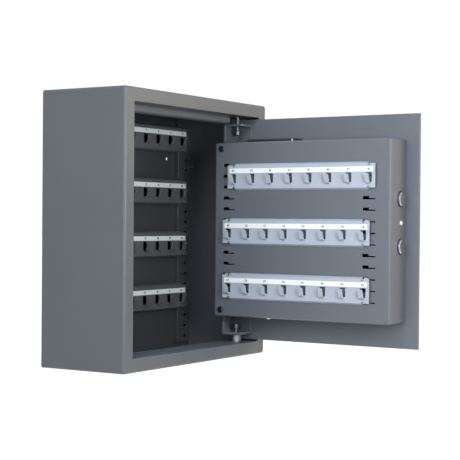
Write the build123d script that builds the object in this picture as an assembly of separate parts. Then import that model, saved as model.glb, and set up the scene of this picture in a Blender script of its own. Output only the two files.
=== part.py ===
from build123d import *
import math
import os

os.makedirs("parts", exist_ok=True)

# A wall key cabinet with a keypad lock. All lengths are millimetres.
# The origin is the middle of the wall fixing holes, on the outer face of the back panel.
# +X is right, +Y goes into the wall, +Z is up. The door is modelled shut and then swung
# open about its hinge pins, which is how the cabinet is stored.

# Cabinet shell
CABINET_WIDTH = 330.0
CABINET_HEIGHT = 350.0
CABINET_DEPTH = 130.0
SHELL_SHEET = 1.5
SHELL_BEND_RADIUS = 3.5
FRAME_MARGIN = 18.0
LOCK_SIDE_RETURN = 11.0
HINGE_RETURN_DEPTH = 45.0
FRAME_EDGE_RADIUS = 0.7
PANEL_GAP = 0.1
WALL_HOLE_SPAN_X = 210.0
WALL_HOLE_SPAN_Z = 200.0
WALL_HOLE_RADIUS = 2.25

# Channel under the top of the door opening
GUARD_SETBACK = 24.0
GUARD_DROP = 9.7
GUARD_FLANGE = 12.0
GUARD_BEND_RADIUS = 3.0
GUARD_HINGE_GAP = 39.0
GUARD_FREE_GAP = 1.0

# Door plate and its swing
DOOR_THICKNESS = 4.0
DOOR_GAP = 2.5
DOOR_OPEN_ANGLE = 90.0
PIN_FROM_OPENING_EDGE = 22.5
PIN_FROM_FRONT = 22.0
DOOR_EDGE_CHAMFER = 0.5

# Hinges
PIN_RADIUS = 3.0
PIN_FIT = 0.05
PIN_HEAD_RADIUS = 4.7
PIN_HEAD_LENGTH = 6.9
PIN_HEAD_CHAMFER = 0.8
PIN_NECK_LENGTH = 5.2
PIN_TAIL = 1.2
SNAP_RING_RADIUS = 4.4
SNAP_RING_THICKNESS = 0.8
SNAP_RING_GAP = 0.3
EAR_THICKNESS = 3.0
EAR_BELOW_OPENING = 10.3
EAR_FREE_SIDE = 14.5
EAR_HINGE_SIDE = 15.1
EAR_BEHIND_PIN = 12.0
BRACKET_DROP = 22.0
BRACKET_BEND_RADIUS = 4.0
BUSH_RADIUS = 7.8
BUSH_GAP = 0.2
BUSH_CHAMFER = 0.8
NUT_ACROSS_FLATS = 10.0
NUT_HEIGHT = 5.0

# Uprights and the slots that the key rails hang in
UPRIGHT_WIDTH = 28.0
UPRIGHT_STANDOFF = 7.5
UPRIGHT_SHEET = 1.2
UPRIGHT_FROM_WALL = 12.2
UPRIGHT_BOTTOM_GAP = 10.5
UPRIGHT_TOP_GAP = 2.0
SLOT_LENGTH = 18.8
SLOT_WIDE_LENGTH = 9.2
SLOT_WIDE_HEIGHT = 4.5
SLOT_NARROW_HEIGHT = 1.8
SLOT_PITCH = 15.0
BODY_SLOT_EDGE_GAP = 5.2
BODY_SLOT_LOW_GAP = 7.5
BODY_SLOT_HIGH_GAP = 20.0
RIVET_RADIUS = 2.2
RIVET_HEAD = 0.9
RIVET_FROM_BACK = 5.6
RIVET_Z = (91.5, -108.5)

# Key rails
RAIL_SHEET = 1.2
RAIL_STANDOFF = 5.0
RAIL_HEIGHT = 36.6
RAIL_FACE_HEIGHT = 31.6
RAIL_LIP_GAP = 0.4
RAIL_LIP_INSET = 11.0
RELIEF_WIDTH = 3.2
RELIEF_HEIGHT = 2.2
HOOK_PITCH = 29.44
HOOK_END_MARGIN = 8.5
BODY_RAIL_TAIL = 8.66
DOOR_RAIL_TAIL = 3.6
RAIL_ROWS_FROM_TOP = 2
RAIL_ROWS_FROM_BOTTOM = 1
RAIL_ROWS_APART = 5
TAB_WIDTH = 6.5
TAB_END_GAP = 2.3
TAB_NOSE_GAP = 0.3
TAB_NOSE_RISE = 2.2
RAIL_SLIDE = 7.5
DOOR_RAILS_SLID = (1,)
WINDOW_WIDTH = 8.4
WINDOW_TOP = 4.0
WINDOW_BOTTOM = -8.4
HOOK_WIDTH = 6.4
HOOK_ROOT_Z = -9.4
HOOK_REACH = 1.7
HOOK_BEND_RADIUS = 3.2
HOOK_LEAN = 2.7
HOOK_TIP_Z = 2.4
HOOK_TIP_CORNER = 1.6
LABEL_HEIGHT = 6.5
LABEL_THICKNESS = 0.5
LABEL_Z = 8.35
LABEL_END_GAP = 3.0

# Cover over the lock works, on the inside of the door
COVER_SHEET = 1.2
COVER_DEPTH = 48.6
COVER_BRACKET_GAP = 1.7
COVER_FREE_INSET = 17.8
COVER_HINGE_INSET = 3.2
COVER_BEND_RADIUS = 2.5
COVER_SLOT_LOW_GAP = 28.5
COVER_SLOT_HIGH_GAP = 30.0
COVER_HINGE_SLOT_GAP = 14.0
COVER_FREE_SLOT_GAP = 21.2
COVER_SCREW_INSET_X = 10.6
COVER_SCREW_INSET_Z = 9.0
COVER_SCREW_RADIUS = 4.25
COVER_SCREW_HEAD = 2.2
COVER_SCREW_ROUND = 1.2
COVER_SOCKET_RADIUS = 1.5
COVER_SOCKET_DEPTH = 1.4
COVER_SCREW_SHANK = 2.5
COVER_SCREW_REACH = 8.0
SCREW_CLEARANCE = 0.3
POST_RADIUS = 4.5
POST_HOLE_SPARE = 1.0
SIDE_SCREW_HEAD_RADIUS = 3.2
SIDE_SCREW_HEAD = 1.8
SIDE_SCREW_ROUND = 0.8
SIDE_SCREW_SHANK = 2.0
SIDE_SCREW_FROM_PLATE = 18.0
LOW_SCREW_FROM_END = 78.7
LOW_SCREW_FROM_PLATE = 33.6
COVER_TAB_WIDTH = 17.0
COVER_TAB_SHEET = 2.0
COVER_TAB_FOOT = 14.0
COVER_TAB_LENGTH = 40.0

# Bolt work
LOCK_Z = 11.0
BOLT_RADIUS = 10.0
BOLT_SPACING = 62.0
BOLT_FROM_PLATE = 18.0
BOLT_PROUD = 3.6
BOLT_THROW = 20.0
BOLT_LENGTH = 46.0
BOLT_TIP_CHAMFER = 1.2
BOLT_FIT = 0.1
BOLT_COVER_GAP = 0.8
BAR_THICKNESS = 5.0
BAR_WIDTH = 16.0
BAR_OVERHANG = 13.0
DRIVE_PLATE_SHEET = 4.0
DRIVE_PLATE_BOTTOM = 4.5
DRIVE_PLATE_TOP = 25.0
DRIVE_PLATE_PAST_SLOT = 7.4
SPINDLE_FROM_COVER = 66.7
SPINDLE_RADIUS = 4.0
CRANK_RADIUS = 14.14
CRANK_REST_ANGLE = 45.0
CRANK_PIN_RADIUS = 3.0
CRANK_THICKNESS = 4.0
CRANK_HUB_RADIUS = 8.0
CRANK_EYE_WALL = 2.0
CRANK_WEB_WIDTH = 8.0
CRANK_GAP = 1.0
DRIVE_SLOT_CLEARANCE = 1.0
BOLT_SCREW_HEAD_RADIUS = 5.0
BOLT_SCREW_HEAD = 4.0
BOLT_SCREW_SHANK = 3.0
BOLT_SCREW_REACH = 14.0
BOLT_SCREW_SPARE = 1.0

# Guide frame on the inside of the door plate
CHASSIS_SHEET = 3.0
CHASSIS_FROM_COVER = 3.5
CHASSIS_FLANGE_SPACING = 10.0
CHASSIS_FLANGE_DEPTH = 33.0
CHASSIS_LENGTH = 92.0
CHASSIS_BOTTOM = -56.0
CHASSIS_TOP = 79.0

# Blocking magnet
MAGNET_FROM_SPINDLE = 7.0
MAGNET_WIDTH = 22.0
MAGNET_DEPTH = 28.0
MAGNET_HEIGHT = 35.0
MAGNET_LIFT = 14.0
MAGNET_CAP = 2.0
MAGNET_CHAMFER = 1.0
PLUNGER_RADIUS = 3.0
PLUNGER_COLLAR_RADIUS = 5.0
PLUNGER_COLLAR = 2.0
PLUNGER_CLEARANCE = 0.5
PLUNGER_CHAMFER = 0.6
NOTCH_DEPTH = 5.0
NOTCH_CLEARANCE = 1.0

# Turning handle on the outside
ROSE_RADIUS = 23.0
ROSE_THICKNESS = 3.0
ROSE_ROUND = 1.2
KNOB_RADIUS = 19.0
KNOB_BASE = 10.0
KNOB_GRIP_WIDTH = 11.0
KNOB_GRIP_HEIGHT = 15.0
KNOB_GRIP_INSET = 1.0
KNOB_GRIP_CORNER = 4.0
KNOB_GRIP_ROUND = 1.5
KNOB_ROUND = 2.5
KNOB_GAP = 0.3
KNOB_SPINDLE_DEPTH = 11.0

# Keypad on the outside
KEYPAD_FROM_EDGE = 99.5
KEYPAD_WIDTH = 80.0
KEYPAD_HEIGHT = 130.0
KEYPAD_DEPTH = 20.0
KEYPAD_WALL = 2.5
KEYPAD_CORNER = 8.0
KEYPAD_ROUND = 2.0
KEY_WIDTH = 14.0
KEY_HEIGHT = 12.5
KEY_PITCH_X = 19.0
KEY_PITCH_Z = 18.0
KEY_TOP_ROW = 45.0
KEY_PROUD = 2.2
KEY_GAP = 0.35
KEY_RIM = 1.2
KEY_RIM_THICKNESS = 1.5
KEY_CORNER = 1.5
KEY_ROUND = 0.6
KEY_NECK = 6.0
KEY_STEM = 3.0
KEY_STEM_RADIUS = 3.0
KEY_TRAVEL = 1.2
KEY_SWITCH_GAP = 0.7
BOARD_THICKNESS = 1.6
BOARD_HEIGHT = 84.0
BOARD_MARGIN = 1.0
BOARD_POST_RADIUS = 2.6
BOARD_POST_INSET = 5.0
HOUSING_BOSS_RADIUS = 4.0
HOUSING_BOSS_INSET_X = 7.0
HOUSING_BOSS_INSET_Z = 7.0
HOUSING_SCREW_RADIUS = 2.0
HOUSING_SCREW_HEAD_RADIUS = 3.6
HOUSING_SCREW_HEAD = 2.4
HOUSING_SCREW_REACH = 8.0
HOUSING_SCREW_SPARE = 1.0

# Emergency lock under the keys
OVERRIDE_DROP = 46.0
BARREL_RADIUS = 8.0
BARREL_LENGTH = 36.0
BARREL_FLANGE_RADIUS = 10.5
BARREL_FLANGE = 1.5
PLUG_RADIUS = 5.0
PLUG_FIT = 0.05
PLUG_INSET = 0.3
KEYWAY_WIDTH = 1.6
KEYWAY_HEIGHT = 7.0
KEYWAY_DEPTH = 24.0
TAIL_LENGTH = 16.0
TAIL_WIDTH = 7.0
TAIL_THICKNESS = 2.0
TAIL_GAP = 0.5
TAIL_CORNER = 2.0
CAP_RADIUS = 13.0
CAP_THICKNESS = 2.0
CAP_GAP = 0.3
CAP_ROUND = 0.6
CAP_PIVOT_RISE = 16.0
CAP_PIVOT_RADIUS = 2.0
CAP_EAR_RADIUS = 5.0

# Battery pack at the top of the cover
HOLDER_FROM_END = 76.6
HOLDER_WIDTH = 75.0
HOLDER_DEPTH = 26.0
HOLDER_FROM_PLATE = 3.5
HOLDER_HEIGHT = 60.0
HOLDER_WALL = 2.0
HOLDER_TOP_GAP = 0.5
HOLDER_FOOT = 4.0
HOLDER_FOOT_DROP = 12.0
DRAWER_GAP = 0.4
DRAWER_WALL = 1.6
DRAWER_RISE = 5.0
DRAWER_LIP = 1.6
DRAWER_LIP_GAP = 0.3
DRAWER_CHAMFER = 0.8
CELL_RADIUS = 7.15
CELL_LENGTH = 49.0
CELL_CAP_RADIUS = 2.7
CELL_CAP_LENGTH = 1.4
CELL_COUNT = 4
CELL_PITCH = 16.4
CELL_GAP = 0.3
CELL_ROUND = 0.5

# How far a cutter runs past a face, and how far a boss runs into its wall
PAST = 1.0
EMBED = 1.0
THROUGH = 400.0

# Places worked out from the sizes above
FRONT_Y = -CABINET_DEPTH
OPENING_X = CABINET_WIDTH / 2 - FRAME_MARGIN
OPENING_Z = CABINET_HEIGHT / 2 - FRAME_MARGIN
INNER_X = CABINET_WIDTH / 2 - SHELL_SHEET
INNER_Z = CABINET_HEIGHT / 2 - SHELL_SHEET
HINGE_X = OPENING_X - PIN_FROM_OPENING_EDGE
HINGE_Y = FRONT_Y + PIN_FROM_FRONT
DOOR_X = OPENING_X - DOOR_GAP
DOOR_Z = OPENING_Z - DOOR_GAP
PLATE_Y = FRONT_Y + DOOR_THICKNESS
EAR_TOP = OPENING_Z - EAR_BELOW_OPENING
EAR_BOTTOM = EAR_TOP - EAR_THICKNESS
UPRIGHT_Y = -SHELL_SHEET - UPRIGHT_STANDOFF
UPRIGHT_INNER_EDGE = INNER_X - UPRIGHT_FROM_WALL - UPRIGHT_WIDTH
UPRIGHT_BOTTOM = -INNER_Z + UPRIGHT_BOTTOM_GAP
UPRIGHT_TOP = INNER_Z - UPRIGHT_TOP_GAP
BODY_LOWEST_ROW_Z = UPRIGHT_BOTTOM + BODY_SLOT_LOW_GAP
BODY_SLOT_ROWS = 1 + int((UPRIGHT_TOP - BODY_SLOT_HIGH_GAP - BODY_LOWEST_ROW_Z) / SLOT_PITCH)
COVER_RIGHT = DOOR_X - COVER_HINGE_INSET
COVER_LEFT = -DOOR_X + COVER_FREE_INSET
COVER_FACE_Y = PLATE_Y + COVER_DEPTH
COVER_Z = EAR_BOTTOM - BRACKET_DROP - COVER_BRACKET_GAP
COVER_LOWEST_ROW_Z = -COVER_Z + COVER_SLOT_LOW_GAP
COVER_SLOT_ROWS = 1 + int((COVER_Z - COVER_SLOT_HIGH_GAP - COVER_LOWEST_ROW_Z) / SLOT_PITCH)
LOW_SCREW_X = COVER_RIGHT - LOW_SCREW_FROM_END
BOLT_Y = PLATE_Y + BOLT_FROM_PLATE
BOLT_Z = (LOCK_Z + BOLT_SPACING / 2, LOCK_Z - BOLT_SPACING / 2)
BOLT_TIP_X = COVER_LEFT - BOLT_PROUD
BAR_FRONT_X = BOLT_TIP_X + BOLT_LENGTH
BAR_BACK_X = BAR_FRONT_X + BAR_THICKNESS
CHASSIS_Y = PLATE_Y + CHASSIS_SHEET
CHASSIS_X = COVER_LEFT + COVER_SHEET + CHASSIS_FROM_COVER
SPINDLE_X = COVER_LEFT + SPINDLE_FROM_COVER
MAGNET_X = SPINDLE_X - MAGNET_FROM_SPINDLE
CRANK_RISE = CRANK_RADIUS * math.sin(math.radians(CRANK_REST_ANGLE))
DRIVE_SLOT_X = SPINDLE_X + CRANK_RADIUS * math.cos(math.radians(CRANK_REST_ANGLE))
KNOB_Y = FRONT_Y - ROSE_THICKNESS - KNOB_GAP
KEYPAD_X = DOOR_X - KEYPAD_FROM_EDGE
KEYPAD_Y = FRONT_Y - KEYPAD_DEPTH
OVERRIDE_Z = LOCK_Z - OVERRIDE_DROP
HOLDER_X = COVER_RIGHT - HOLDER_FROM_END
HOLDER_TOP = COVER_Z - COVER_SHEET - HOLDER_TOP_GAP
HOLDER_Y = PLATE_Y + HOLDER_FROM_PLATE


def block(x0, x1, y0, y1, z0, z1):
    """A box between two corners, given in any order."""
    size = (abs(x1 - x0), abs(y1 - y0), abs(z1 - z0))
    middle = ((x0 + x1) / 2, (y0 + y1) / 2, (z0 + z1) / 2)
    return Pos(*middle) * Box(*size)


def rod(radius, start, direction, length):
    """A round bar from a start point along a direction."""
    seat = Plane(origin=start, z_dir=direction)
    return seat * Cylinder(radius, length, align=(Align.CENTER, Align.CENTER, Align.MIN))


def bore(radius, start, direction, length):
    """A cutter for a round hole through a wall, from one face of it to the other."""
    return rod(radius, Vector(*start) - Vector(*direction) * PAST, direction, length + 2 * PAST)


def blind_hole(radius, start, direction, depth):
    """A cutter for a round hole that starts at a face and ends at a depth."""
    return rod(radius, Vector(*start) - Vector(*direction) * PAST, direction, depth + PAST)


def hexagon_bar(across_flats, start, direction, length):
    """A six-sided bar from a start point along a direction."""
    seat = Plane(origin=start, z_dir=direction)
    outline = RegularPolygon(across_flats / 2, 6, major_radius=False)
    return seat * extrude(outline, length)


def group(*solids):
    """Several separate solids kept in one node."""
    return Compound(children=list(solids))


def swing_open(shape):
    """Turns a piece of the shut door about the hinge pins to the stored pose."""
    pins = Axis((HINGE_X, HINGE_Y, 0), (0, 0, 1))
    turned = [solid.rotate(pins, DOOR_OPEN_ANGLE) for solid in shape.solids()]
    return turned[0] if len(turned) == 1 else group(*turned)


# Cabinet shell and what is fixed in it

def rounded_case(half_x, half_z, front, back, radius):
    """A box with its front outline and its long edges rounded."""
    case = block(-half_x, half_x, front, back, -half_z, half_z)
    front_edges = case.faces().sort_by(Axis.Y)[0].edges()
    return fillet(front_edges + case.edges().filter_by(Axis.Y), radius)


def body_shell():
    """The folded sheet body: four walls, the front frame and the frame's returns."""
    outer = rounded_case(CABINET_WIDTH / 2, CABINET_HEIGHT / 2, FRONT_Y, 0, SHELL_BEND_RADIUS)
    inner_front = FRONT_Y + SHELL_SHEET
    hollow = rounded_case(INNER_X, INNER_Z, inner_front, SHELL_SHEET, SHELL_BEND_RADIUS - SHELL_SHEET)
    shell = outer - hollow
    returns = block(
        -OPENING_X - SHELL_SHEET, OPENING_X, FRONT_Y, FRONT_Y + HINGE_RETURN_DEPTH,
        -OPENING_Z - SHELL_SHEET, OPENING_Z + SHELL_SHEET,
    )
    returns -= block(-THROUGH, THROUGH, FRONT_Y + LOCK_SIDE_RETURN, 0, -OPENING_Z, OPENING_Z)
    shell += returns
    shell -= block(-OPENING_X, OPENING_X, FRONT_Y - PAST, 0, -OPENING_Z, OPENING_Z)
    rim = shell.faces().filter_by(Plane.XZ).sort_by(Axis.Y)[0].inner_wires()[0].edges()
    shell = fillet(rim, FRAME_EDGE_RADIUS)
    for side in (1, -1):
        hole = (HINGE_X, HINGE_Y, side * OPENING_Z)
        shell -= bore(PIN_RADIUS + PIN_FIT, hole, (0, 0, side), SHELL_SHEET)
    return shell


def back_panel():
    """The welded-in back with its four wall holes."""
    half_x = INNER_X - PANEL_GAP
    half_z = INNER_Z - PANEL_GAP
    panel = block(-half_x, half_x, -SHELL_SHEET, 0, -half_z, half_z)
    panel = fillet(panel.edges().filter_by(Axis.Y), SHELL_BEND_RADIUS - SHELL_SHEET)
    for x in (-WALL_HOLE_SPAN_X / 2, WALL_HOLE_SPAN_X / 2):
        for z in (-WALL_HOLE_SPAN_Z / 2, WALL_HOLE_SPAN_Z / 2):
            panel -= bore(WALL_HOLE_RADIUS, (x, -SHELL_SHEET, z), (0, 1, 0), SHELL_SHEET)
    return panel


def guard_channel():
    """A folded strip behind the top of the opening, cut short beside the hinge."""
    y = FRONT_Y + GUARD_SETBACK
    top = OPENING_Z
    bottom = top - GUARD_DROP
    channel = block(
        -OPENING_X + GUARD_FREE_GAP, OPENING_X - GUARD_HINGE_GAP, y, y + GUARD_FLANGE, bottom, top
    )
    low_front = channel.edges().filter_by(Axis.X).group_by(Axis.Z)[0].sort_by(Axis.Y)[0]
    channel = fillet(low_front, GUARD_BEND_RADIUS)
    hollow = block(
        -THROUGH, THROUGH, y + SHELL_SHEET, y + GUARD_FLANGE + PAST, bottom + SHELL_SHEET, top - SHELL_SHEET
    )
    low_front = hollow.edges().filter_by(Axis.X).group_by(Axis.Z)[0].sort_by(Axis.Y)[0]
    hollow = fillet(low_front, GUARD_BEND_RADIUS - SHELL_SHEET)
    return channel - hollow


def hinge_pin(side):
    """A headed pin from inside the ear, out through the frame into its nut."""
    up = (0, 0, side)
    ear_face = EAR_BOTTOM
    head_end = ear_face - PIN_NECK_LENGTH
    head_start = head_end - PIN_HEAD_LENGTH
    tail = OPENING_Z + SHELL_SHEET + NUT_HEIGHT + PIN_TAIL
    pin = rod(PIN_HEAD_RADIUS, (HINGE_X, HINGE_Y, side * head_start), up, PIN_HEAD_LENGTH)
    pin = chamfer(pin.edges().filter_by(GeomType.CIRCLE), PIN_HEAD_CHAMFER)
    pin += rod(PIN_RADIUS, (HINGE_X, HINGE_Y, side * head_end), up, tail - head_end)
    ring = ear_face - SNAP_RING_GAP - SNAP_RING_THICKNESS
    pin += rod(SNAP_RING_RADIUS, (HINGE_X, HINGE_Y, side * ring), up, SNAP_RING_THICKNESS)
    return pin


def hinge_bush():
    """The collar that carries the door on the lower side of the frame."""
    height = OPENING_Z - EAR_TOP - BUSH_GAP
    bush = rod(BUSH_RADIUS, (HINGE_X, HINGE_Y, -OPENING_Z), (0, 0, 1), height)
    bush = chamfer(bush.edges().filter_by(GeomType.CIRCLE).sort_by(Axis.Z)[-1], BUSH_CHAMFER)
    return bush - bore(PIN_RADIUS + PIN_FIT, (HINGE_X, HINGE_Y, -OPENING_Z), (0, 0, 1), height)


def hinge_nuts():
    """A nut on each hinge pin, inside the frame."""
    nuts = []
    for side in (1, -1):
        start = (HINGE_X, HINGE_Y, side * (OPENING_Z + SHELL_SHEET))
        nut = hexagon_bar(NUT_ACROSS_FLATS, start, (0, 0, side), NUT_HEIGHT)
        nut -= bore(PIN_RADIUS + PIN_FIT, start, (0, 0, side), NUT_HEIGHT)
        nuts.append(nut)
    return group(*nuts)


# Slots and key rails. A rail is built facing -Y, with its slot wall at y = 0.

def slot_cutter(wide_end_x, z, depth_from, depth_to):
    """A slot with a tall entry at one end and a thin run that holds the rail's tab."""
    inner = wide_end_x - SLOT_WIDE_LENGTH
    far = wide_end_x - SLOT_LENGTH
    low = z - SLOT_WIDE_HEIGHT / 2
    entry = block(wide_end_x, inner, depth_from, depth_to, low, z + SLOT_WIDE_HEIGHT / 2)
    run = block(wide_end_x, far, depth_from, depth_to, low, low + SLOT_NARROW_HEIGHT)
    return entry + run


def upright(side):
    """A channel with a column of slots, standing off the back panel."""
    inner = side * UPRIGHT_INNER_EDGE
    outer = side * (UPRIGHT_INNER_EDGE + UPRIGHT_WIDTH)
    channel = block(inner, outer, UPRIGHT_Y, -SHELL_SHEET, UPRIGHT_BOTTOM, UPRIGHT_TOP)
    channel -= block(
        inner + side * UPRIGHT_SHEET, outer - side * UPRIGHT_SHEET,
        UPRIGHT_Y + UPRIGHT_SHEET, 0, UPRIGHT_BOTTOM - PAST, UPRIGHT_TOP + PAST,
    )
    wide_end = body_slot_end(side)
    cutters = []
    for row in range(BODY_SLOT_ROWS):
        z = BODY_LOWEST_ROW_Z + row * SLOT_PITCH
        cutters.append(slot_cutter(wide_end, z, UPRIGHT_Y - PAST, UPRIGHT_Y + UPRIGHT_SHEET + PAST))
    return channel - cutters


def body_slot_end(side):
    """Where the tall end of a cabinet slot lies: always at the slot's right."""
    near = UPRIGHT_INNER_EDGE + BODY_SLOT_EDGE_GAP
    if side > 0:
        return near + SLOT_LENGTH
    return -near


def hook_profile():
    """The side outline of one hook, bent out of the rail and up."""
    half = RAIL_SHEET / 2
    face = -RAIL_STANDOFF
    bend_y = face - HOOK_REACH
    bend_z = HOOK_ROOT_Z + HOOK_BEND_RADIUS
    outer = HOOK_BEND_RADIUS + half
    inner = HOOK_BEND_RADIUS - half
    diagonal = math.sin(math.radians(45.0))
    inside_face = face + RAIL_SHEET
    low_start = (inside_face, HOOK_ROOT_Z - half)
    low_end = (bend_y, HOOK_ROOT_Z - half)
    outer_mid = (bend_y - outer * diagonal, bend_z - outer * diagonal)
    outer_end = (bend_y - outer, bend_z)
    tip_outer = (bend_y - outer - HOOK_LEAN, HOOK_TIP_Z)
    tip_inner = (bend_y - inner - HOOK_LEAN, HOOK_TIP_Z)
    inner_end = (bend_y - inner, bend_z)
    inner_mid = (bend_y - inner * diagonal, bend_z - inner * diagonal)
    high_end = (bend_y, HOOK_ROOT_Z + half)
    high_start = (inside_face, HOOK_ROOT_Z + half)
    outline = [
        Line(low_start, low_end),
        ThreePointArc(low_end, outer_mid, outer_end),
        Polyline(outer_end, tip_outer, tip_inner, inner_end),
        ThreePointArc(inner_end, inner_mid, high_end),
        Polyline(high_end, high_start, low_start),
    ]
    return make_face(outline)


def hook(x):
    """One hook, bent out of a window in the rail."""
    outline = Plane(origin=(x, 0, 0), x_dir=(0, 1, 0), z_dir=(1, 0, 0)) * hook_profile()
    bent = extrude(outline, HOOK_WIDTH / 2, both=True)
    tip_edges = bent.faces().sort_by(Axis.Z)[-1].edges().sort_by(Axis.X)
    return fillet([tip_edges[0], tip_edges[-1]], HOOK_TIP_CORNER)


def rail_section():
    """The rail's section: a flat face with a lip folded back above and below."""
    face = -RAIL_STANDOFF
    back = face + RAIL_SHEET
    rise = (RAIL_HEIGHT - RAIL_FACE_HEIGHT) / 2
    run = RAIL_STANDOFF - RAIL_LIP_GAP
    edge = RAIL_SHEET * math.hypot(rise, run) / run
    half_face = RAIL_FACE_HEIGHT / 2
    half_height = RAIL_HEIGHT / 2
    back_corner = half_face + rise * RAIL_SHEET / run - edge
    upper = [
        (-RAIL_LIP_GAP, half_height), (-RAIL_LIP_GAP, half_height - edge), (back, back_corner),
    ]
    lower = [(y, -z) for y, z in reversed(upper)]
    return make_face(Polyline((face, half_face), *upper, *lower, (face, -half_face), close=True))


def rail_rows(slot_rows):
    """The rows of slots that key rails hang in, from the top one down."""
    return range(slot_rows - RAIL_ROWS_FROM_TOP, RAIL_ROWS_FROM_BOTTOM - 1, -RAIL_ROWS_APART)


def hook_places(length):
    """The middle of each hook along a rail, as many as fit, evenly about its middle."""
    last = int((length - 2 * HOOK_END_MARGIN) / HOOK_PITCH)
    return [(count - last / 2) * HOOK_PITCH for count in range(last + 1)]


def key_rail(length, tab_ends, wall_sheet):
    """One key rail. tab_ends lists the x where each tab starts, and the way it runs inward."""
    half = length / 2
    face = -RAIL_STANDOFF
    back = face + RAIL_SHEET
    rail = block(-half, half, face, back, -RAIL_FACE_HEIGHT / 2, RAIL_FACE_HEIGHT / 2)
    section = Plane(origin=(0, 0, 0), x_dir=(0, 1, 0), z_dir=(1, 0, 0)) * rail_section()
    rail += extrude(section, half - RAIL_LIP_INSET, both=True)
    cuts = []
    for side in (1, -1):
        for end in (1, -1):
            x = side * (half - RAIL_LIP_INSET)
            z = end * RAIL_FACE_HEIGHT / 2
            cuts.append(block(
                x, x + side * RELIEF_WIDTH, face - PAST, back + PAST, z, z - end * RELIEF_HEIGHT
            ))
    half_window = WINDOW_WIDTH / 2
    for x in hook_places(length):
        cuts.append(block(
            x - half_window, x + half_window, face - PAST, back + PAST, WINDOW_BOTTOM, WINDOW_TOP
        ))
    rail -= cuts
    rail += [hook(x) for x in hook_places(length)]
    return rail + rail_tabs(tab_ends, wall_sheet)


def rail_tabs(tab_ends, wall_sheet):
    """Tabs that pass through the slots, each with a nose behind the slotted wall."""
    tabs = []
    low = -RAIL_SHEET / 2
    nose_start = wall_sheet + TAB_NOSE_GAP
    nose_end = nose_start + RAIL_SHEET
    for x, way in tab_ends:
        far = x - way * TAB_WIDTH
        for row in (-1, 1):
            z = row * SLOT_PITCH
            neck = block(x, far, -RAIL_STANDOFF, nose_end, z + low, z + low + RAIL_SHEET)
            nose = block(x, far, nose_start, nose_end, z + low, z + low + RAIL_SHEET + TAB_NOSE_RISE)
            tabs.append(neck + nose)
    return tabs


def rail_drop():
    """How far below its slot row a rail's own middle lies."""
    return (SLOT_WIDE_HEIGHT - SLOT_NARROW_HEIGHT) / 2


def label_strip(length):
    """The slip above a rail's hooks that carries their numbers."""
    half = length / 2 - LABEL_END_GAP
    face = -RAIL_STANDOFF
    low = LABEL_Z - LABEL_HEIGHT / 2
    return block(-half, half, face - LABEL_THICKNESS, face, low, low + LABEL_HEIGHT)


def body_rail_pieces(row):
    """A cabinet rail and its label, slid left in their slots."""
    right = body_slot_end(1) - TAB_END_GAP - RAIL_SLIDE
    left = body_slot_end(-1) - TAB_END_GAP - RAIL_SLIDE
    length = right - left + TAB_WIDTH + BODY_RAIL_TAIL
    middle = right - length / 2
    rail = key_rail(length, [(right - middle, 1), (left - middle, 1)], UPRIGHT_SHEET)
    z = BODY_LOWEST_ROW_Z + row * SLOT_PITCH - rail_drop()
    place = Pos(middle, UPRIGHT_Y, z)
    return place * rail, place * label_strip(length)


def side_rivets():
    """Rivets through the side walls, close to the back corners."""
    rivets = []
    for side in (1, -1):
        for z in RIVET_Z:
            start = (side * (INNER_X - RIVET_HEAD), -RIVET_FROM_BACK, z)
            rivets.append(rod(RIVET_RADIUS, start, (side, 0, 0), RIVET_HEAD))
    return group(*rivets)


# The door, modelled shut

def door_plate():
    """The thick plate, with holes for the spindle, the emergency lock and the keypad's screws."""
    plate = block(-DOOR_X, DOOR_X, FRONT_Y, PLATE_Y, -DOOR_Z, DOOR_Z)
    plate = chamfer(plate.faces().sort_by(Axis.Y)[0].edges(), DOOR_EDGE_CHAMFER)
    holes = [(SPINDLE_X, LOCK_Z, SPINDLE_RADIUS + 2 * PLUG_FIT)]
    holes.append((KEYPAD_X, OVERRIDE_Z, BARREL_RADIUS + PLUG_FIT))
    for x, z in housing_screw_places():
        holes.append((x, z, HOUSING_SCREW_RADIUS + SCREW_CLEARANCE))
    for x, z, radius in holes:
        plate -= bore(radius, (x, FRONT_Y, z), (0, 1, 0), DOOR_THICKNESS)
    return plate


def hinge_bracket(side):
    """A folded corner bracket: an ear on the pin, a leg on the plate and an end flange."""
    left = HINGE_X - EAR_FREE_SIDE
    right = HINGE_X + EAR_HINGE_SIDE
    back = HINGE_Y + EAR_BEHIND_PIN
    low = EAR_TOP - BRACKET_DROP - EAR_THICKNESS
    bracket = block(left, right, PLATE_Y, back, side * low, side * EAR_TOP)
    hollow = block(
        left - PAST, right - EAR_THICKNESS, PLATE_Y + EAR_THICKNESS, back + PAST,
        side * (low - PAST), side * EAR_BOTTOM,
    )
    outer_bend = bend_edge(bracket, side)
    inner_bend = bend_edge(hollow, side)
    bracket = fillet(outer_bend, BRACKET_BEND_RADIUS)
    bracket -= fillet(inner_bend, BRACKET_BEND_RADIUS - EAR_THICKNESS)
    hole = (HINGE_X, HINGE_Y, side * EAR_BOTTOM)
    return bracket - bore(PIN_RADIUS + PIN_FIT, hole, (0, 0, side), EAR_THICKNESS)


def bend_edge(shape, side):
    """The edge along X where a bracket's ear turns into its leg on the plate."""
    level = shape.edges().filter_by(Axis.X).group_by(Axis.Z)[-1 if side > 0 else 0]
    return level.sort_by(Axis.Y)[0]


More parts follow.
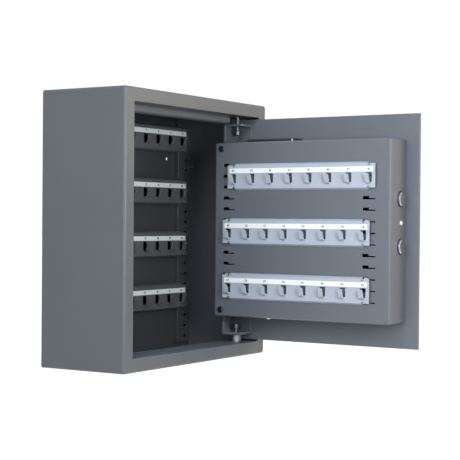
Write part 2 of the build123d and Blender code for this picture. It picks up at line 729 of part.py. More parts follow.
def lock_cover():
    """The folded cover: a tray with slots for the key rails and holes for the bolts."""
    tray = block(COVER_LEFT, COVER_RIGHT, PLATE_Y, COVER_FACE_Y, -COVER_Z, COVER_Z)
    outer_edges = tray.faces().sort_by(Axis.Y)[-1].edges() + tray.edges().filter_by(Axis.Y)
    tray = fillet(outer_edges, COVER_BEND_RADIUS)
    hollow = block(
        COVER_LEFT + COVER_SHEET, COVER_RIGHT - COVER_SHEET, PLATE_Y - PAST, COVER_FACE_Y - COVER_SHEET,
        -COVER_Z + COVER_SHEET, COVER_Z - COVER_SHEET,
    )
    inner_edges = hollow.faces().sort_by(Axis.Y)[-1].edges() + hollow.edges().filter_by(Axis.Y)
    tray -= fillet(inner_edges, COVER_BEND_RADIUS - COVER_SHEET)
    cuts = []
    for row in range(COVER_SLOT_ROWS):
        z = COVER_LOWEST_ROW_Z + row * SLOT_PITCH
        for wide_end in cover_slot_ends():
            cuts.append(slot_cutter(wide_end, z, COVER_FACE_Y - COVER_SHEET - PAST, COVER_FACE_Y + PAST))
    for z in BOLT_Z:
        hole = BOLT_RADIUS + BOLT_COVER_GAP
        cuts.append(bore(hole, (COVER_LEFT, BOLT_Y, z), (1, 0, 0), COVER_SHEET))
    for x, z in cover_screw_places():
        hole = COVER_SCREW_SHANK + SCREW_CLEARANCE
        cuts.append(bore(hole, (x, COVER_FACE_Y - COVER_SHEET, z), (0, 1, 0), COVER_SHEET))
    hole = SIDE_SCREW_SHANK + SCREW_CLEARANCE
    side_y = PLATE_Y + SIDE_SCREW_FROM_PLATE
    cuts.append(bore(hole, (COVER_LEFT, side_y, LOCK_Z), (1, 0, 0), COVER_SHEET))
    low_y = PLATE_Y + LOW_SCREW_FROM_PLATE
    cuts.append(bore(hole, (LOW_SCREW_X, low_y, -COVER_Z), (0, 0, 1), COVER_SHEET))
    cuts.append(drawer_outline(DRAWER_GAP, COVER_Z - COVER_SHEET - PAST, COVER_Z + PAST))
    return tray - cuts


def cover_slot_ends():
    """Where the tall ends of the two columns of cover slots lie."""
    return COVER_RIGHT - COVER_HINGE_SLOT_GAP, COVER_LEFT + COVER_FREE_SLOT_GAP + SLOT_LENGTH


def cover_screw_places():
    """The middle of each black screw, beside the hinges."""
    x = COVER_RIGHT - COVER_SCREW_INSET_X
    z = COVER_Z - COVER_SCREW_INSET_Z
    return (x, z), (x, -z)


def cover_screws():
    """Two black screws that hold the cover to its posts."""
    screws = []
    for x, z in cover_screw_places():
        head = rod(COVER_SCREW_RADIUS, (x, COVER_FACE_Y, z), (0, 1, 0), COVER_SCREW_HEAD)
        head = fillet(head.edges().filter_by(GeomType.CIRCLE).sort_by(Axis.Y)[-1], COVER_SCREW_ROUND)
        socket = Plane(origin=(x, COVER_FACE_Y + COVER_SCREW_HEAD, z), z_dir=(0, -1, 0))
        outline = RegularPolygon(COVER_SOCKET_RADIUS, 6, major_radius=False)
        head -= socket * extrude(outline, COVER_SOCKET_DEPTH)
        shank = rod(COVER_SCREW_SHANK, (x, COVER_FACE_Y, z), (0, -1, 0), COVER_SCREW_REACH)
        screws.append(head + shank)
    return group(*screws)


def cover_posts():
    """Tapped posts from the plate to the inside of the cover."""
    posts = []
    length = COVER_DEPTH - COVER_SHEET
    for x, z in cover_screw_places():
        post = rod(POST_RADIUS, (x, PLATE_Y, z), (0, 1, 0), length)
        depth = COVER_SCREW_REACH - COVER_SHEET + POST_HOLE_SPARE
        post -= blind_hole(COVER_SCREW_SHANK + PIN_FIT, (x, PLATE_Y + length, z), (0, -1, 0), depth)
        posts.append(post)
    return group(*posts)


def cover_side_screws():
    """Plated screws through the cover's free side and its underside."""
    y = PLATE_Y + SIDE_SCREW_FROM_PLATE
    reach = COVER_SHEET + CHASSIS_FROM_COVER + CHASSIS_SHEET
    side_screw = rod(SIDE_SCREW_HEAD_RADIUS, (COVER_LEFT, y, LOCK_Z), (-1, 0, 0), SIDE_SCREW_HEAD)
    side_screw = fillet(side_screw.edges().filter_by(GeomType.CIRCLE).sort_by(Axis.X)[0], SIDE_SCREW_ROUND)
    side_screw += rod(SIDE_SCREW_SHANK, (COVER_LEFT, y, LOCK_Z), (1, 0, 0), reach)
    low = (LOW_SCREW_X, PLATE_Y + LOW_SCREW_FROM_PLATE, -COVER_Z)
    low_screw = rod(SIDE_SCREW_HEAD_RADIUS, low, (0, 0, -1), SIDE_SCREW_HEAD)
    low_screw = fillet(low_screw.edges().filter_by(GeomType.CIRCLE).sort_by(Axis.Z)[0], SIDE_SCREW_ROUND)
    low_screw += rod(SIDE_SCREW_SHANK, low, (0, 0, 1), COVER_SHEET + COVER_TAB_SHEET)
    return group(side_screw, low_screw)


def cover_tab():
    """An angle on the plate that the cover's lower screw goes into."""
    left = LOW_SCREW_X - COVER_TAB_WIDTH / 2
    right = LOW_SCREW_X + COVER_TAB_WIDTH / 2
    low = -COVER_Z + COVER_SHEET
    tab = block(left, right, PLATE_Y, PLATE_Y + COVER_TAB_LENGTH, low, low + COVER_TAB_SHEET)
    tab += block(left, right, PLATE_Y, PLATE_Y + COVER_TAB_SHEET, low, low + COVER_TAB_FOOT)
    hole = (LOW_SCREW_X, PLATE_Y + LOW_SCREW_FROM_PLATE, low)
    return tab - bore(SIDE_SCREW_SHANK + PIN_FIT, hole, (0, 0, 1), COVER_TAB_SHEET)


def door_rail_pieces(row, slide):
    """A door rail and its label. It faces into the cabinet, so it is turned half round."""
    hinge_tab, free_tab = [end - TAB_END_GAP - slide for end in cover_slot_ends()]
    length = hinge_tab - free_tab + TAB_WIDTH + DOOR_RAIL_TAIL
    middle = hinge_tab - length / 2
    tab_ends = [(middle - hinge_tab, -1), (middle - free_tab, -1)]
    rail = key_rail(length, tab_ends, COVER_SHEET)
    z = COVER_LOWEST_ROW_Z + row * SLOT_PITCH - rail_drop()
    place = Pos(middle, COVER_FACE_Y, z) * Rot(0, 0, 180)
    return place * rail, place * label_strip(length)


# Bolt work behind the cover

def bolt_chassis():
    """The folded guide: a base on the plate and two flanges that the bolts slide in."""
    right = CHASSIS_X + CHASSIS_LENGTH
    chassis = block(CHASSIS_X, right, PLATE_Y, CHASSIS_Y, LOCK_Z + CHASSIS_BOTTOM, LOCK_Z + CHASSIS_TOP)
    flange_end = PLATE_Y + CHASSIS_FLANGE_DEPTH
    reach = BOLT_SPACING / 2 + BAR_OVERHANG + BOLT_RADIUS / 2
    for x in (CHASSIS_X, CHASSIS_X + CHASSIS_FLANGE_SPACING):
        chassis += block(x, x + CHASSIS_SHEET, PLATE_Y, flange_end, LOCK_Z - reach, LOCK_Z + reach)
    cuts = [bore(SPINDLE_RADIUS + PLUG_FIT, (SPINDLE_X, PLATE_Y, LOCK_Z), (0, 1, 0), CHASSIS_SHEET)]
    for z in BOLT_Z:
        width = CHASSIS_FLANGE_SPACING + CHASSIS_SHEET
        cuts.append(bore(BOLT_RADIUS + BOLT_FIT, (CHASSIS_X, BOLT_Y, z), (1, 0, 0), width))
    screw_y = PLATE_Y + SIDE_SCREW_FROM_PLATE
    cuts.append(bore(SIDE_SCREW_SHANK + PIN_FIT, (CHASSIS_X, screw_y, LOCK_Z), (1, 0, 0), CHASSIS_SHEET))
    return chassis - cuts


def locking_bolt(z):
    """A round bolt, bored at its back for the screw that holds it to the bar."""
    bolt = rod(BOLT_RADIUS, (BOLT_TIP_X, BOLT_Y, z), (1, 0, 0), BOLT_LENGTH)
    bolt = chamfer(bolt.edges().filter_by(GeomType.CIRCLE).sort_by(Axis.X)[0], BOLT_TIP_CHAMFER)
    end = (BAR_FRONT_X, BOLT_Y, z)
    return bolt - blind_hole(BOLT_SCREW_SHANK + PIN_FIT, end, (-1, 0, 0), BOLT_SCREW_REACH)


def bolt_bar():
    """The bar behind the bolts, which moves both of them."""
    reach = BOLT_SPACING / 2 + BAR_OVERHANG
    half_width = BAR_WIDTH / 2
    bar = block(
        BAR_FRONT_X, BAR_BACK_X, BOLT_Y - half_width, BOLT_Y + half_width, LOCK_Z - reach, LOCK_Z + reach
    )
    hole = BOLT_SCREW_SHANK + PIN_FIT
    return bar - [bore(hole, (BAR_FRONT_X, BOLT_Y, z), (1, 0, 0), BAR_THICKNESS) for z in BOLT_Z]


def drive_plate():
    """The plate welded to the bar: a slot for the crank pin and two notches for the plunger."""
    front = BOLT_Y - DRIVE_PLATE_SHEET / 2
    back = BOLT_Y + DRIVE_PLATE_SHEET / 2
    half_slot = CRANK_PIN_RADIUS + DRIVE_SLOT_CLEARANCE
    end = DRIVE_SLOT_X + half_slot + DRIVE_PLATE_PAST_SLOT
    top = LOCK_Z + DRIVE_PLATE_TOP
    plate = block(BAR_BACK_X, end, front, back, LOCK_Z + DRIVE_PLATE_BOTTOM, top)
    plate -= block(
        DRIVE_SLOT_X - half_slot, DRIVE_SLOT_X + half_slot, front - PAST, back + PAST,
        LOCK_Z + CRANK_RISE - half_slot, LOCK_Z + CRANK_RADIUS + half_slot,
    )
    half_notch = PLUNGER_RADIUS + NOTCH_CLEARANCE
    for x in (MAGNET_X, MAGNET_X + BOLT_THROW):
        plate -= block(
            x - half_notch, x + half_notch, front - PAST, back + PAST, top - NOTCH_DEPTH, top + PAST
        )
    return plate


def bolt_screws():
    """The screws that hold the bolts to the bar."""
    screws = []
    for z in BOLT_Z:
        start = (BAR_BACK_X, BOLT_Y, z)
        screw = rod(BOLT_SCREW_HEAD_RADIUS, start, (1, 0, 0), BOLT_SCREW_HEAD)
        reach = BAR_THICKNESS + BOLT_SCREW_REACH - BOLT_SCREW_SPARE
        screw += rod(BOLT_SCREW_SHANK, start, (-1, 0, 0), reach)
        screws.append(screw)
    return group(*screws)


def magnet_body():
    """The blocking magnet, seated on the guide frame."""
    low = LOCK_Z + DRIVE_PLATE_TOP + MAGNET_LIFT
    half = MAGNET_WIDTH / 2
    body = block(
        MAGNET_X - half, MAGNET_X + half, CHASSIS_Y, CHASSIS_Y + MAGNET_DEPTH, low, low + MAGNET_HEIGHT
    )
    body = chamfer(body.edges().filter_by(Axis.Z), MAGNET_CHAMFER)
    depth = MAGNET_HEIGHT - MAGNET_CAP
    return body - blind_hole(PLUNGER_RADIUS + PLUG_FIT, (MAGNET_X, BOLT_Y, low), (0, 0, 1), depth)


def plunger():
    """The sprung pin that drops into a notch of the drive plate."""
    tip = LOCK_Z + DRIVE_PLATE_TOP + PLUNGER_CLEARANCE
    low = LOCK_Z + DRIVE_PLATE_TOP + MAGNET_LIFT
    pin = rod(PLUNGER_RADIUS, (MAGNET_X, BOLT_Y, tip), (0, 0, 1), MAGNET_LIFT + MAGNET_HEIGHT / 2)
    pin = chamfer(pin.edges().filter_by(GeomType.CIRCLE).sort_by(Axis.Z)[0], PLUNGER_CHAMFER)
    collar = low - PLUNGER_COLLAR - PLUNGER_CLEARANCE
    return pin + rod(PLUNGER_COLLAR_RADIUS, (MAGNET_X, BOLT_Y, collar), (0, 0, 1), PLUNGER_COLLAR)


def crank():
    """The arm on the spindle and the pin that drives the bolt bar."""
    back = BOLT_Y - DRIVE_PLATE_SHEET / 2 - CRANK_GAP
    front = back - CRANK_THICKNESS
    pin_x = DRIVE_SLOT_X
    pin_z = LOCK_Z + CRANK_RISE
    arm = rod(CRANK_HUB_RADIUS, (SPINDLE_X, front, LOCK_Z), (0, 1, 0), CRANK_THICKNESS)
    arm += rod(CRANK_PIN_RADIUS + CRANK_EYE_WALL, (pin_x, front, pin_z), (0, 1, 0), CRANK_THICKNESS)
    web = Box(CRANK_RADIUS, CRANK_THICKNESS, CRANK_WEB_WIDTH)
    middle = ((SPINDLE_X + pin_x) / 2, (front + back) / 2, (LOCK_Z + pin_z) / 2)
    arm += Pos(*middle) * Rot(0, -CRANK_REST_ANGLE, 0) * web
    pin_length = CRANK_THICKNESS + CRANK_GAP + DRIVE_PLATE_SHEET + CRANK_GAP
    arm += rod(CRANK_PIN_RADIUS, (pin_x, front, pin_z), (0, 1, 0), pin_length)
    return arm - bore(SPINDLE_RADIUS + PLUG_FIT, (SPINDLE_X, front, LOCK_Z), (0, 1, 0), CRANK_THICKNESS)


# Handle and keypad on the outside of the door

def handle_rose():
    """The round plate under the knob."""
    start = (SPINDLE_X, FRONT_Y, LOCK_Z)
    rose = rod(ROSE_RADIUS, start, (0, -1, 0), ROSE_THICKNESS)
    rose = fillet(rose.edges().filter_by(GeomType.CIRCLE).sort_by(Axis.Y)[0], ROSE_ROUND)
    return rose - bore(SPINDLE_RADIUS + 2 * PLUG_FIT, start, (0, -1, 0), ROSE_THICKNESS)


def knob():
    """The turning knob with its raised grip."""
    seat = (SPINDLE_X, KNOB_Y, LOCK_Z)
    disc = rod(KNOB_RADIUS, seat, (0, -1, 0), KNOB_BASE)
    disc = fillet(disc.edges().filter_by(GeomType.CIRCLE).sort_by(Axis.Y)[0], KNOB_ROUND)
    half_width = KNOB_GRIP_WIDTH / 2
    half_length = KNOB_RADIUS - KNOB_GRIP_INSET
    grip = block(
        SPINDLE_X - half_width, SPINDLE_X + half_width, KNOB_Y - EMBED,
        KNOB_Y - KNOB_BASE - KNOB_GRIP_HEIGHT, LOCK_Z - half_length, LOCK_Z + half_length,
    )
    grip = fillet(grip.edges().filter_by(Axis.Y), KNOB_GRIP_CORNER)
    grip = fillet(grip.faces().sort_by(Axis.Y)[0].edges(), KNOB_GRIP_ROUND)
    return disc + grip - blind_hole(SPINDLE_RADIUS + PLUG_FIT, seat, (0, -1, 0), KNOB_SPINDLE_DEPTH)


def spindle():
    """The shaft from the knob to the crank."""
    start = KNOB_Y - KNOB_SPINDLE_DEPTH
    end = BOLT_Y - DRIVE_PLATE_SHEET / 2 - CRANK_GAP
    return rod(SPINDLE_RADIUS, (SPINDLE_X, start, LOCK_Z), (0, 1, 0), end - start)


def key_places():
    """The middle of each key, with its name, from the top row down."""
    names = ("1", "2", "3", "4", "5", "6", "7", "8", "9", "clear", "0", "enter")
    places = []
    for count, name in enumerate(names):
        x = KEYPAD_X + (count % 3 - 1) * KEY_PITCH_X
        z = LOCK_Z + KEY_TOP_ROW - (count // 3) * KEY_PITCH_Z
        places.append((name, x, z))
    return places


def housing_screw_places():
    """The middle of each screw near the keypad's corners."""
    dx = KEYPAD_WIDTH / 2 - HOUSING_BOSS_INSET_X
    dz = KEYPAD_HEIGHT / 2 - HOUSING_BOSS_INSET_Z
    return [(KEYPAD_X + a * dx, LOCK_Z + b * dz) for a in (-1, 1) for b in (-1, 1)]


def board_post_places():
    """The middle of each post that the board rests on."""
    dx = KEYPAD_WIDTH / 2 - KEYPAD_WALL - BOARD_POST_INSET
    top = board_top() - BOARD_POST_INSET
    bottom = board_top() - BOARD_HEIGHT + BOARD_POST_INSET
    return [(KEYPAD_X + a * dx, z) for a in (-1, 1) for z in (top, bottom)]


def board_top():
    """The upper edge of the keypad's board."""
    return LOCK_Z + KEY_TOP_ROW + KEY_HEIGHT / 2 + KEY_RIM


def board_face_y():
    """The board's outer face, which the key stems press on."""
    return KEYPAD_Y + KEYPAD_WALL + KEY_RIM_THICKNESS + KEY_STEM + KEY_TRAVEL + KEY_SWITCH_GAP


def keypad_housing():
    """The hollow housing with openings for the keys and the emergency lock."""
    half_x = KEYPAD_WIDTH / 2
    half_z = KEYPAD_HEIGHT / 2
    body = block(
        KEYPAD_X - half_x, KEYPAD_X + half_x, KEYPAD_Y, FRONT_Y, LOCK_Z - half_z, LOCK_Z + half_z
    )
    body = fillet(body.edges().filter_by(Axis.Y), KEYPAD_CORNER)
    body = fillet(body.faces().sort_by(Axis.Y)[0].edges(), KEYPAD_ROUND)
    inner_x = half_x - KEYPAD_WALL
    inner_z = half_z - KEYPAD_WALL
    hollow = block(
        KEYPAD_X - inner_x, KEYPAD_X + inner_x, KEYPAD_Y + KEYPAD_WALL, FRONT_Y + PAST,
        LOCK_Z - inner_z, LOCK_Z + inner_z,
    )
    body -= fillet(hollow.edges().filter_by(Axis.Y), KEYPAD_CORNER - KEYPAD_WALL)
    wall_y = KEYPAD_Y + KEYPAD_WALL - EMBED
    for x, z in housing_screw_places():
        body += rod(HOUSING_BOSS_RADIUS, (x, wall_y, z), (0, 1, 0), FRONT_Y - wall_y)
    for x, z in board_post_places():
        body += rod(BOARD_POST_RADIUS, (x, wall_y, z), (0, 1, 0), board_face_y() - wall_y)
    cuts = []
    for x, z in housing_screw_places():
        hole = HOUSING_SCREW_RADIUS + PIN_FIT
        cuts.append(blind_hole(hole, (x, FRONT_Y, z), (0, -1, 0), HOUSING_SCREW_REACH))
    half_key_x = KEY_WIDTH / 2 + KEY_GAP
    half_key_z = KEY_HEIGHT / 2 + KEY_GAP
    for _, x, z in key_places():
        cuts.append(block(
            x - half_key_x, x + half_key_x, KEYPAD_Y - PAST, KEYPAD_Y + KEYPAD_WALL + PAST,
            z - half_key_z, z + half_key_z,
        ))
    cuts.append(bore(BARREL_RADIUS + PLUG_FIT, (KEYPAD_X, KEYPAD_Y, OVERRIDE_Z), (0, 1, 0), KEYPAD_WALL))
    pivot = (KEYPAD_X, KEYPAD_Y, OVERRIDE_Z + CAP_PIVOT_RISE)
    cuts.append(bore(CAP_PIVOT_RADIUS + PLUG_FIT, pivot, (0, 1, 0), KEYPAD_WALL))
    return body - cuts


def housing_screws():
    """Four screws through the plate into the keypad housing."""
    screws = []
    for x, z in housing_screw_places():
        screw = rod(HOUSING_SCREW_HEAD_RADIUS, (x, PLATE_Y, z), (0, 1, 0), HOUSING_SCREW_HEAD)
        reach = DOOR_THICKNESS + HOUSING_SCREW_REACH - HOUSING_SCREW_SPARE
        screw += rod(HOUSING_SCREW_RADIUS, (x, PLATE_Y, z), (0, -1, 0), reach)
        screws.append(screw)
    return group(*screws)


def keypad_board():
    """The switch board behind the keys."""
    half_x = KEYPAD_WIDTH / 2 - KEYPAD_WALL - BOARD_MARGIN
    top = board_top()
    y = board_face_y()
    board = block(
        KEYPAD_X - half_x, KEYPAD_X + half_x, y, y + BOARD_THICKNESS, top - BOARD_HEIGHT, top
    )
    for x, z in housing_screw_places():
        board -= bore(HOUSING_BOSS_RADIUS + BOARD_MARGIN, (x, y, z), (0, 1, 0), BOARD_THICKNESS)
    return board


def keypad_key(x, z):
    """One key: a cap in the housing's opening, a rim behind it and a stem on the switch."""
    half_x = KEY_WIDTH / 2
    half_z = KEY_HEIGHT / 2
    back = KEYPAD_Y + KEYPAD_WALL
    cap = block(x - half_x, x + half_x, KEYPAD_Y - KEY_PROUD, back, z - half_z, z + half_z)
    cap = fillet(cap.edges().filter_by(Axis.Y), KEY_CORNER)
    cap = fillet(cap.faces().sort_by(Axis.Y)[0].edges(), KEY_ROUND)
    rim_x = half_x + KEY_RIM
    rim_z = half_z + KEY_RIM
    rim_back = back + KEY_GAP + KEY_RIM_THICKNESS
    neck = KEY_NECK / 2
    cap += block(x - neck, x + neck, back - EMBED, back + KEY_GAP + EMBED, z - neck, z + neck)
    cap += block(x - rim_x, x + rim_x, back + KEY_GAP, rim_back, z - rim_z, z + rim_z)
    return cap + rod(KEY_STEM_RADIUS, (x, rim_back, z), (0, 1, 0), KEY_STEM - KEY_GAP)


# Emergency lock

def override_barrel():
    """The fixed barrel of the emergency lock, with a flange behind the housing's wall."""
    start = (KEYPAD_X, KEYPAD_Y, OVERRIDE_Z)
    barrel = rod(BARREL_RADIUS, start, (0, 1, 0), BARREL_LENGTH)
    flange_y = KEYPAD_Y + KEYPAD_WALL
    barrel += rod(BARREL_FLANGE_RADIUS, (KEYPAD_X, flange_y, OVERRIDE_Z), (0, 1, 0), BARREL_FLANGE)
    return barrel - bore(PLUG_RADIUS + PLUG_FIT, start, (0, 1, 0), BARREL_LENGTH)


def override_plug():
    """The turning plug with its keyway, and the tail on its inner end."""
    tail_y = KEYPAD_Y + BARREL_LENGTH + TAIL_GAP
    start_y = KEYPAD_Y + PLUG_INSET
    plug = rod(PLUG_RADIUS, (KEYPAD_X, start_y, OVERRIDE_Z), (0, 1, 0), tail_y - start_y)
    half = KEYWAY_WIDTH / 2
    plug -= block(
        KEYPAD_X - half, KEYPAD_X + half, KEYPAD_Y, KEYPAD_Y + KEYWAY_DEPTH,
        OVERRIDE_Z - KEYWAY_HEIGHT / 2, OVERRIDE_Z + KEYWAY_HEIGHT / 2,
    )
    half_tail = TAIL_WIDTH / 2
    tail = block(
        KEYPAD_X - TAIL_LENGTH, KEYPAD_X + half_tail, tail_y, tail_y + TAIL_THICKNESS,
        OVERRIDE_Z - half_tail, OVERRIDE_Z + half_tail,
    )
    return plug + fillet(tail.edges().filter_by(Axis.Y), TAIL_CORNER)


def override_cap():
    """The cap that swings aside from the keyway on a small pivot."""
    y = KEYPAD_Y - CAP_GAP
    pivot_z = OVERRIDE_Z + CAP_PIVOT_RISE
    disc = rod(CAP_RADIUS, (KEYPAD_X, y, OVERRIDE_Z), (0, -1, 0), CAP_THICKNESS)
    ear = rod(CAP_EAR_RADIUS, (KEYPAD_X, y, pivot_z), (0, -1, 0), CAP_THICKNESS)
    neck = block(
        KEYPAD_X - CAP_EAR_RADIUS, KEYPAD_X + CAP_EAR_RADIUS, y, y - CAP_THICKNESS, OVERRIDE_Z, pivot_z
    )
    cap = disc + ear + neck
    rim = cap.faces().sort_by(Axis.Y)[0].edges()
    cap = fillet(rim, CAP_ROUND)
    return cap + rod(CAP_PIVOT_RADIUS, (KEYPAD_X, y, pivot_z), (0, 1, 0), KEYPAD_WALL + CAP_GAP)


# Battery pack

def drawer_outline(grow, low, high):
    """The drawer's plan, grown by a clearance, between two heights."""
    half_x = HOLDER_WIDTH / 2 - HOLDER_WALL - DRAWER_GAP + grow
    near = HOLDER_Y + HOLDER_WALL + DRAWER_GAP - grow
    far = HOLDER_Y + HOLDER_DEPTH - HOLDER_WALL - DRAWER_GAP + grow
    return block(HOLDER_X - half_x, HOLDER_X + half_x, near, far, low, high)


def battery_holder():
    """The fixed case that stands on the plate, open at the top."""
    half = HOLDER_WIDTH / 2
    low = HOLDER_TOP - HOLDER_HEIGHT
    case = block(HOLDER_X - half, HOLDER_X + half, HOLDER_Y, HOLDER_Y + HOLDER_DEPTH, low, HOLDER_TOP)
    case -= drawer_outline(DRAWER_GAP, low + HOLDER_WALL, HOLDER_TOP + PAST)
    foot_top = HOLDER_TOP - HOLDER_FOOT_DROP
    for x in (HOLDER_X - half, HOLDER_X + half - HOLDER_FOOT):
        case += block(x, x + HOLDER_FOOT, PLATE_Y, HOLDER_Y, low + HOLDER_FOOT, foot_top)
    return case


def cell_places():
    """The middle of each battery cell."""
    first = HOLDER_X - (CELL_COUNT - 1) * CELL_PITCH / 2
    return [first + count * CELL_PITCH for count in range(CELL_COUNT)]


def drawer_floor():
    """The underside of the drawer when it is pushed home."""
    return HOLDER_TOP - HOLDER_HEIGHT + HOLDER_WALL + DRAWER_GAP


def battery_drawer():
    """The drawer that lifts out of the case, with a well for each cell."""
    low = drawer_floor()
    lip_low = COVER_Z + DRAWER_LIP_GAP
    high = COVER_Z + DRAWER_RISE
    drawer = drawer_outline(0, low, lip_low + EMBED)
    lip = drawer_outline(DRAWER_LIP, lip_low, high)
    drawer += chamfer(lip.edges().group_by(Axis.Z)[-1], DRAWER_CHAMFER)
    y = HOLDER_Y + HOLDER_DEPTH / 2
    for x in cell_places():
        drawer -= rod(CELL_RADIUS + CELL_GAP, (x, y, low + DRAWER_WALL), (0, 0, 1), well_length())
    return drawer


def well_length():
    """The depth of a well, with room at both ends of its cell."""
    return CELL_LENGTH + CELL_CAP_LENGTH + 2 * CELL_GAP


def battery_cells():
    """Four cells, each with its raised end on top."""
    cells = []
    y = HOLDER_Y + HOLDER_DEPTH / 2
    low = drawer_floor() + DRAWER_WALL + CELL_GAP
    for x in cell_places():
        cell = rod(CELL_RADIUS, (x, y, low), (0, 0, 1), CELL_LENGTH)
        cell = fillet(cell.edges().filter_by(GeomType.CIRCLE), CELL_ROUND)
        cap = (x, y, low + CELL_LENGTH - EMBED)
        cells.append(cell + rod(CELL_CAP_RADIUS, cap, (0, 0, 1), CELL_CAP_LENGTH + EMBED))
    return group(*cells)


# Every piece by name

def cabinet_pieces():
    """The pieces that stay with the cabinet."""
    pieces = {
        "body_shell": body_shell(),
        "back_panel": back_panel(),
        "guard_channel": guard_channel(),
        "upright_left": upright(-1),
        "upright_right": upright(1),
        "side_rivets": side_rivets(),
        "hinge_pin_top": hinge_pin(1),
        "hinge_pin_bottom": hinge_pin(-1),
        "hinge_bush": hinge_bush(),
        "hinge_nuts": hinge_nuts(),
    }
    labels = []
    for number, row in enumerate(rail_rows(BODY_SLOT_ROWS), start=1):
        rail, label = body_rail_pieces(row)
        pieces[f"cabinet_key_rail_{number}"] = rail
        labels.append(label)
    pieces["cabinet_label_strips"] = group(*labels)
    return pieces


def door_pieces():
    """The pieces that swing with the door."""
    pieces = {
        "door_plate": door_plate(),
        "hinge_bracket_top": hinge_bracket(1),
        "hinge_bracket_bottom": hinge_bracket(-1),
        "lock_cover": lock_cover(),
        "cover_screws": cover_screws(),
        "cover_posts": cover_posts(),
        "cover_side_screws": cover_side_screws(),
        "cover_tab": cover_tab(),
        "bolt_chassis": bolt_chassis(),
        "bolt_bar": bolt_bar(),
        "drive_plate": drive_plate(),
        "locking_bolt_upper": locking_bolt(BOLT_Z[0]),
        "locking_bolt_lower": locking_bolt(BOLT_Z[1]),
        "bolt_screws": bolt_screws(),
        "magnet_body": magnet_body(),
        "blocking_plunger": plunger(),
        "crank": crank(),
        "handle_rose": handle_rose(),
        "handle_knob": knob(),
        "handle_spindle": spindle(),
        "keypad_housing": keypad_housing(),
        "housing_screws": housing_screws(),
        "keypad_board": keypad_board(),
        "override_barrel": override_barrel(),
        "override_plug": override_plug(),
        "override_cap": override_cap(),
        "battery_holder": battery_holder(),
        "battery_drawer": battery_drawer(),
        "battery_cells": battery_cells(),
    }
    labels = []
    for number, row in enumerate(rail_rows(COVER_SLOT_ROWS), start=1):
        slide = RAIL_SLIDE if number in DOOR_RAILS_SLID else 0.0
        rail, label = door_rail_pieces(row, slide)
        pieces[f"door_key_rail_{number}"] = rail
        labels.append(label)
    pieces["door_label_strips"] = group(*labels)
    for name, x, z in key_places():
        pieces[f"key_{name}"] = keypad_key(x, z)
    return pieces


for name, piece in cabinet_pieces().items():
    export_step(piece, f"parts/{name}.step")
for name, piece in door_pieces().items():
    export_step(swing_open(piece), f"parts/{name}.step")
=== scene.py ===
import math

import bpy
from mathutils import Matrix, Vector


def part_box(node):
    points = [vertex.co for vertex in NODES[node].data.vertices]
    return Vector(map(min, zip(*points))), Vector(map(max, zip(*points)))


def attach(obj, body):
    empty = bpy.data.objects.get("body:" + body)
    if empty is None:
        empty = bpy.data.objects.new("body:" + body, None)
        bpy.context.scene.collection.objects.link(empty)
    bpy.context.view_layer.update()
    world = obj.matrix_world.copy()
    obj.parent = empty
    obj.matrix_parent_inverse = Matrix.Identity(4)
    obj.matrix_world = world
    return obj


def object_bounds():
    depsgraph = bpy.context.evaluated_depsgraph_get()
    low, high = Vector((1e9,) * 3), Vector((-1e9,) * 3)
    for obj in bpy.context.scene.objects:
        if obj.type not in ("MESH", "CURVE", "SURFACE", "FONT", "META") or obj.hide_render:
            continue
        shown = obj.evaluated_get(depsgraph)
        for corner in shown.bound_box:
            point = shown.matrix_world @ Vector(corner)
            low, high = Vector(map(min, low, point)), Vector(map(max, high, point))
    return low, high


bl_info = {
    "name": "Keypad key cabinet looks",
    "version": (1, 0, 0),
    "blender": (4, 5, 0),
    "location": "3D View > Sidebar > Key cabinet",
    "description": "Finishes, printed numbers, trim and a small studio for a wall key cabinet",
    "category": "Object",
}

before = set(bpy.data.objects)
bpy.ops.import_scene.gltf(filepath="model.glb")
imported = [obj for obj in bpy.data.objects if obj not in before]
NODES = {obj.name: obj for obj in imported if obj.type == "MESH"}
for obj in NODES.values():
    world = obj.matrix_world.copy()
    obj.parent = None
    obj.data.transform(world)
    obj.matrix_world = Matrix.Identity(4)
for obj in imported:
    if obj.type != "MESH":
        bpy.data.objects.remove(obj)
CAD_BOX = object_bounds()
MM = 0.001
CABINET_RAILS = [f"cabinet_key_rail_{n}" for n in (1, 2, 3, 4)]
DOOR_RAILS = [f"door_key_rail_{n}" for n in (1, 2, 3)]
DIGIT_KEYS = [f"key_{n}" for n in range(10)]
SIDEWAYS = math.radians(90)


def tone(red, green, blue):
    """A colour written as 0 to 255 on screen, turned into the light values that shaders use."""
    parts = []
    for part in (red, green, blue):
        level = part / 255
        parts.append(level / 12.92 if level <= 0.04045 else ((level + 0.055) / 1.055) ** 2.4)
    return tuple(parts)


# Settings

def colour_property(name, description, red, green, blue):
    return bpy.props.FloatVectorProperty(
        name=name, description=description, default=tone(red, green, blue),
        subtype="COLOR", min=0.0, max=1.0,
    )


def length_property(name, description, millimetres):
    return bpy.props.FloatProperty(
        name=name, description=description, default=millimetres * MM, subtype="DISTANCE", unit="LENGTH",
    )


def share_property(name, description, value):
    return bpy.props.FloatProperty(
        name=name, description=description, default=value, subtype="FACTOR", min=0.0, max=1.0,
    )


def angle_property(name, description, degrees):
    return bpy.props.FloatProperty(
        name=name, description=description, default=math.radians(degrees), subtype="ANGLE", unit="ROTATION",
    )


def power_property(name, description, watts):
    return bpy.props.FloatProperty(name=name, description=description, default=watts, subtype="POWER")


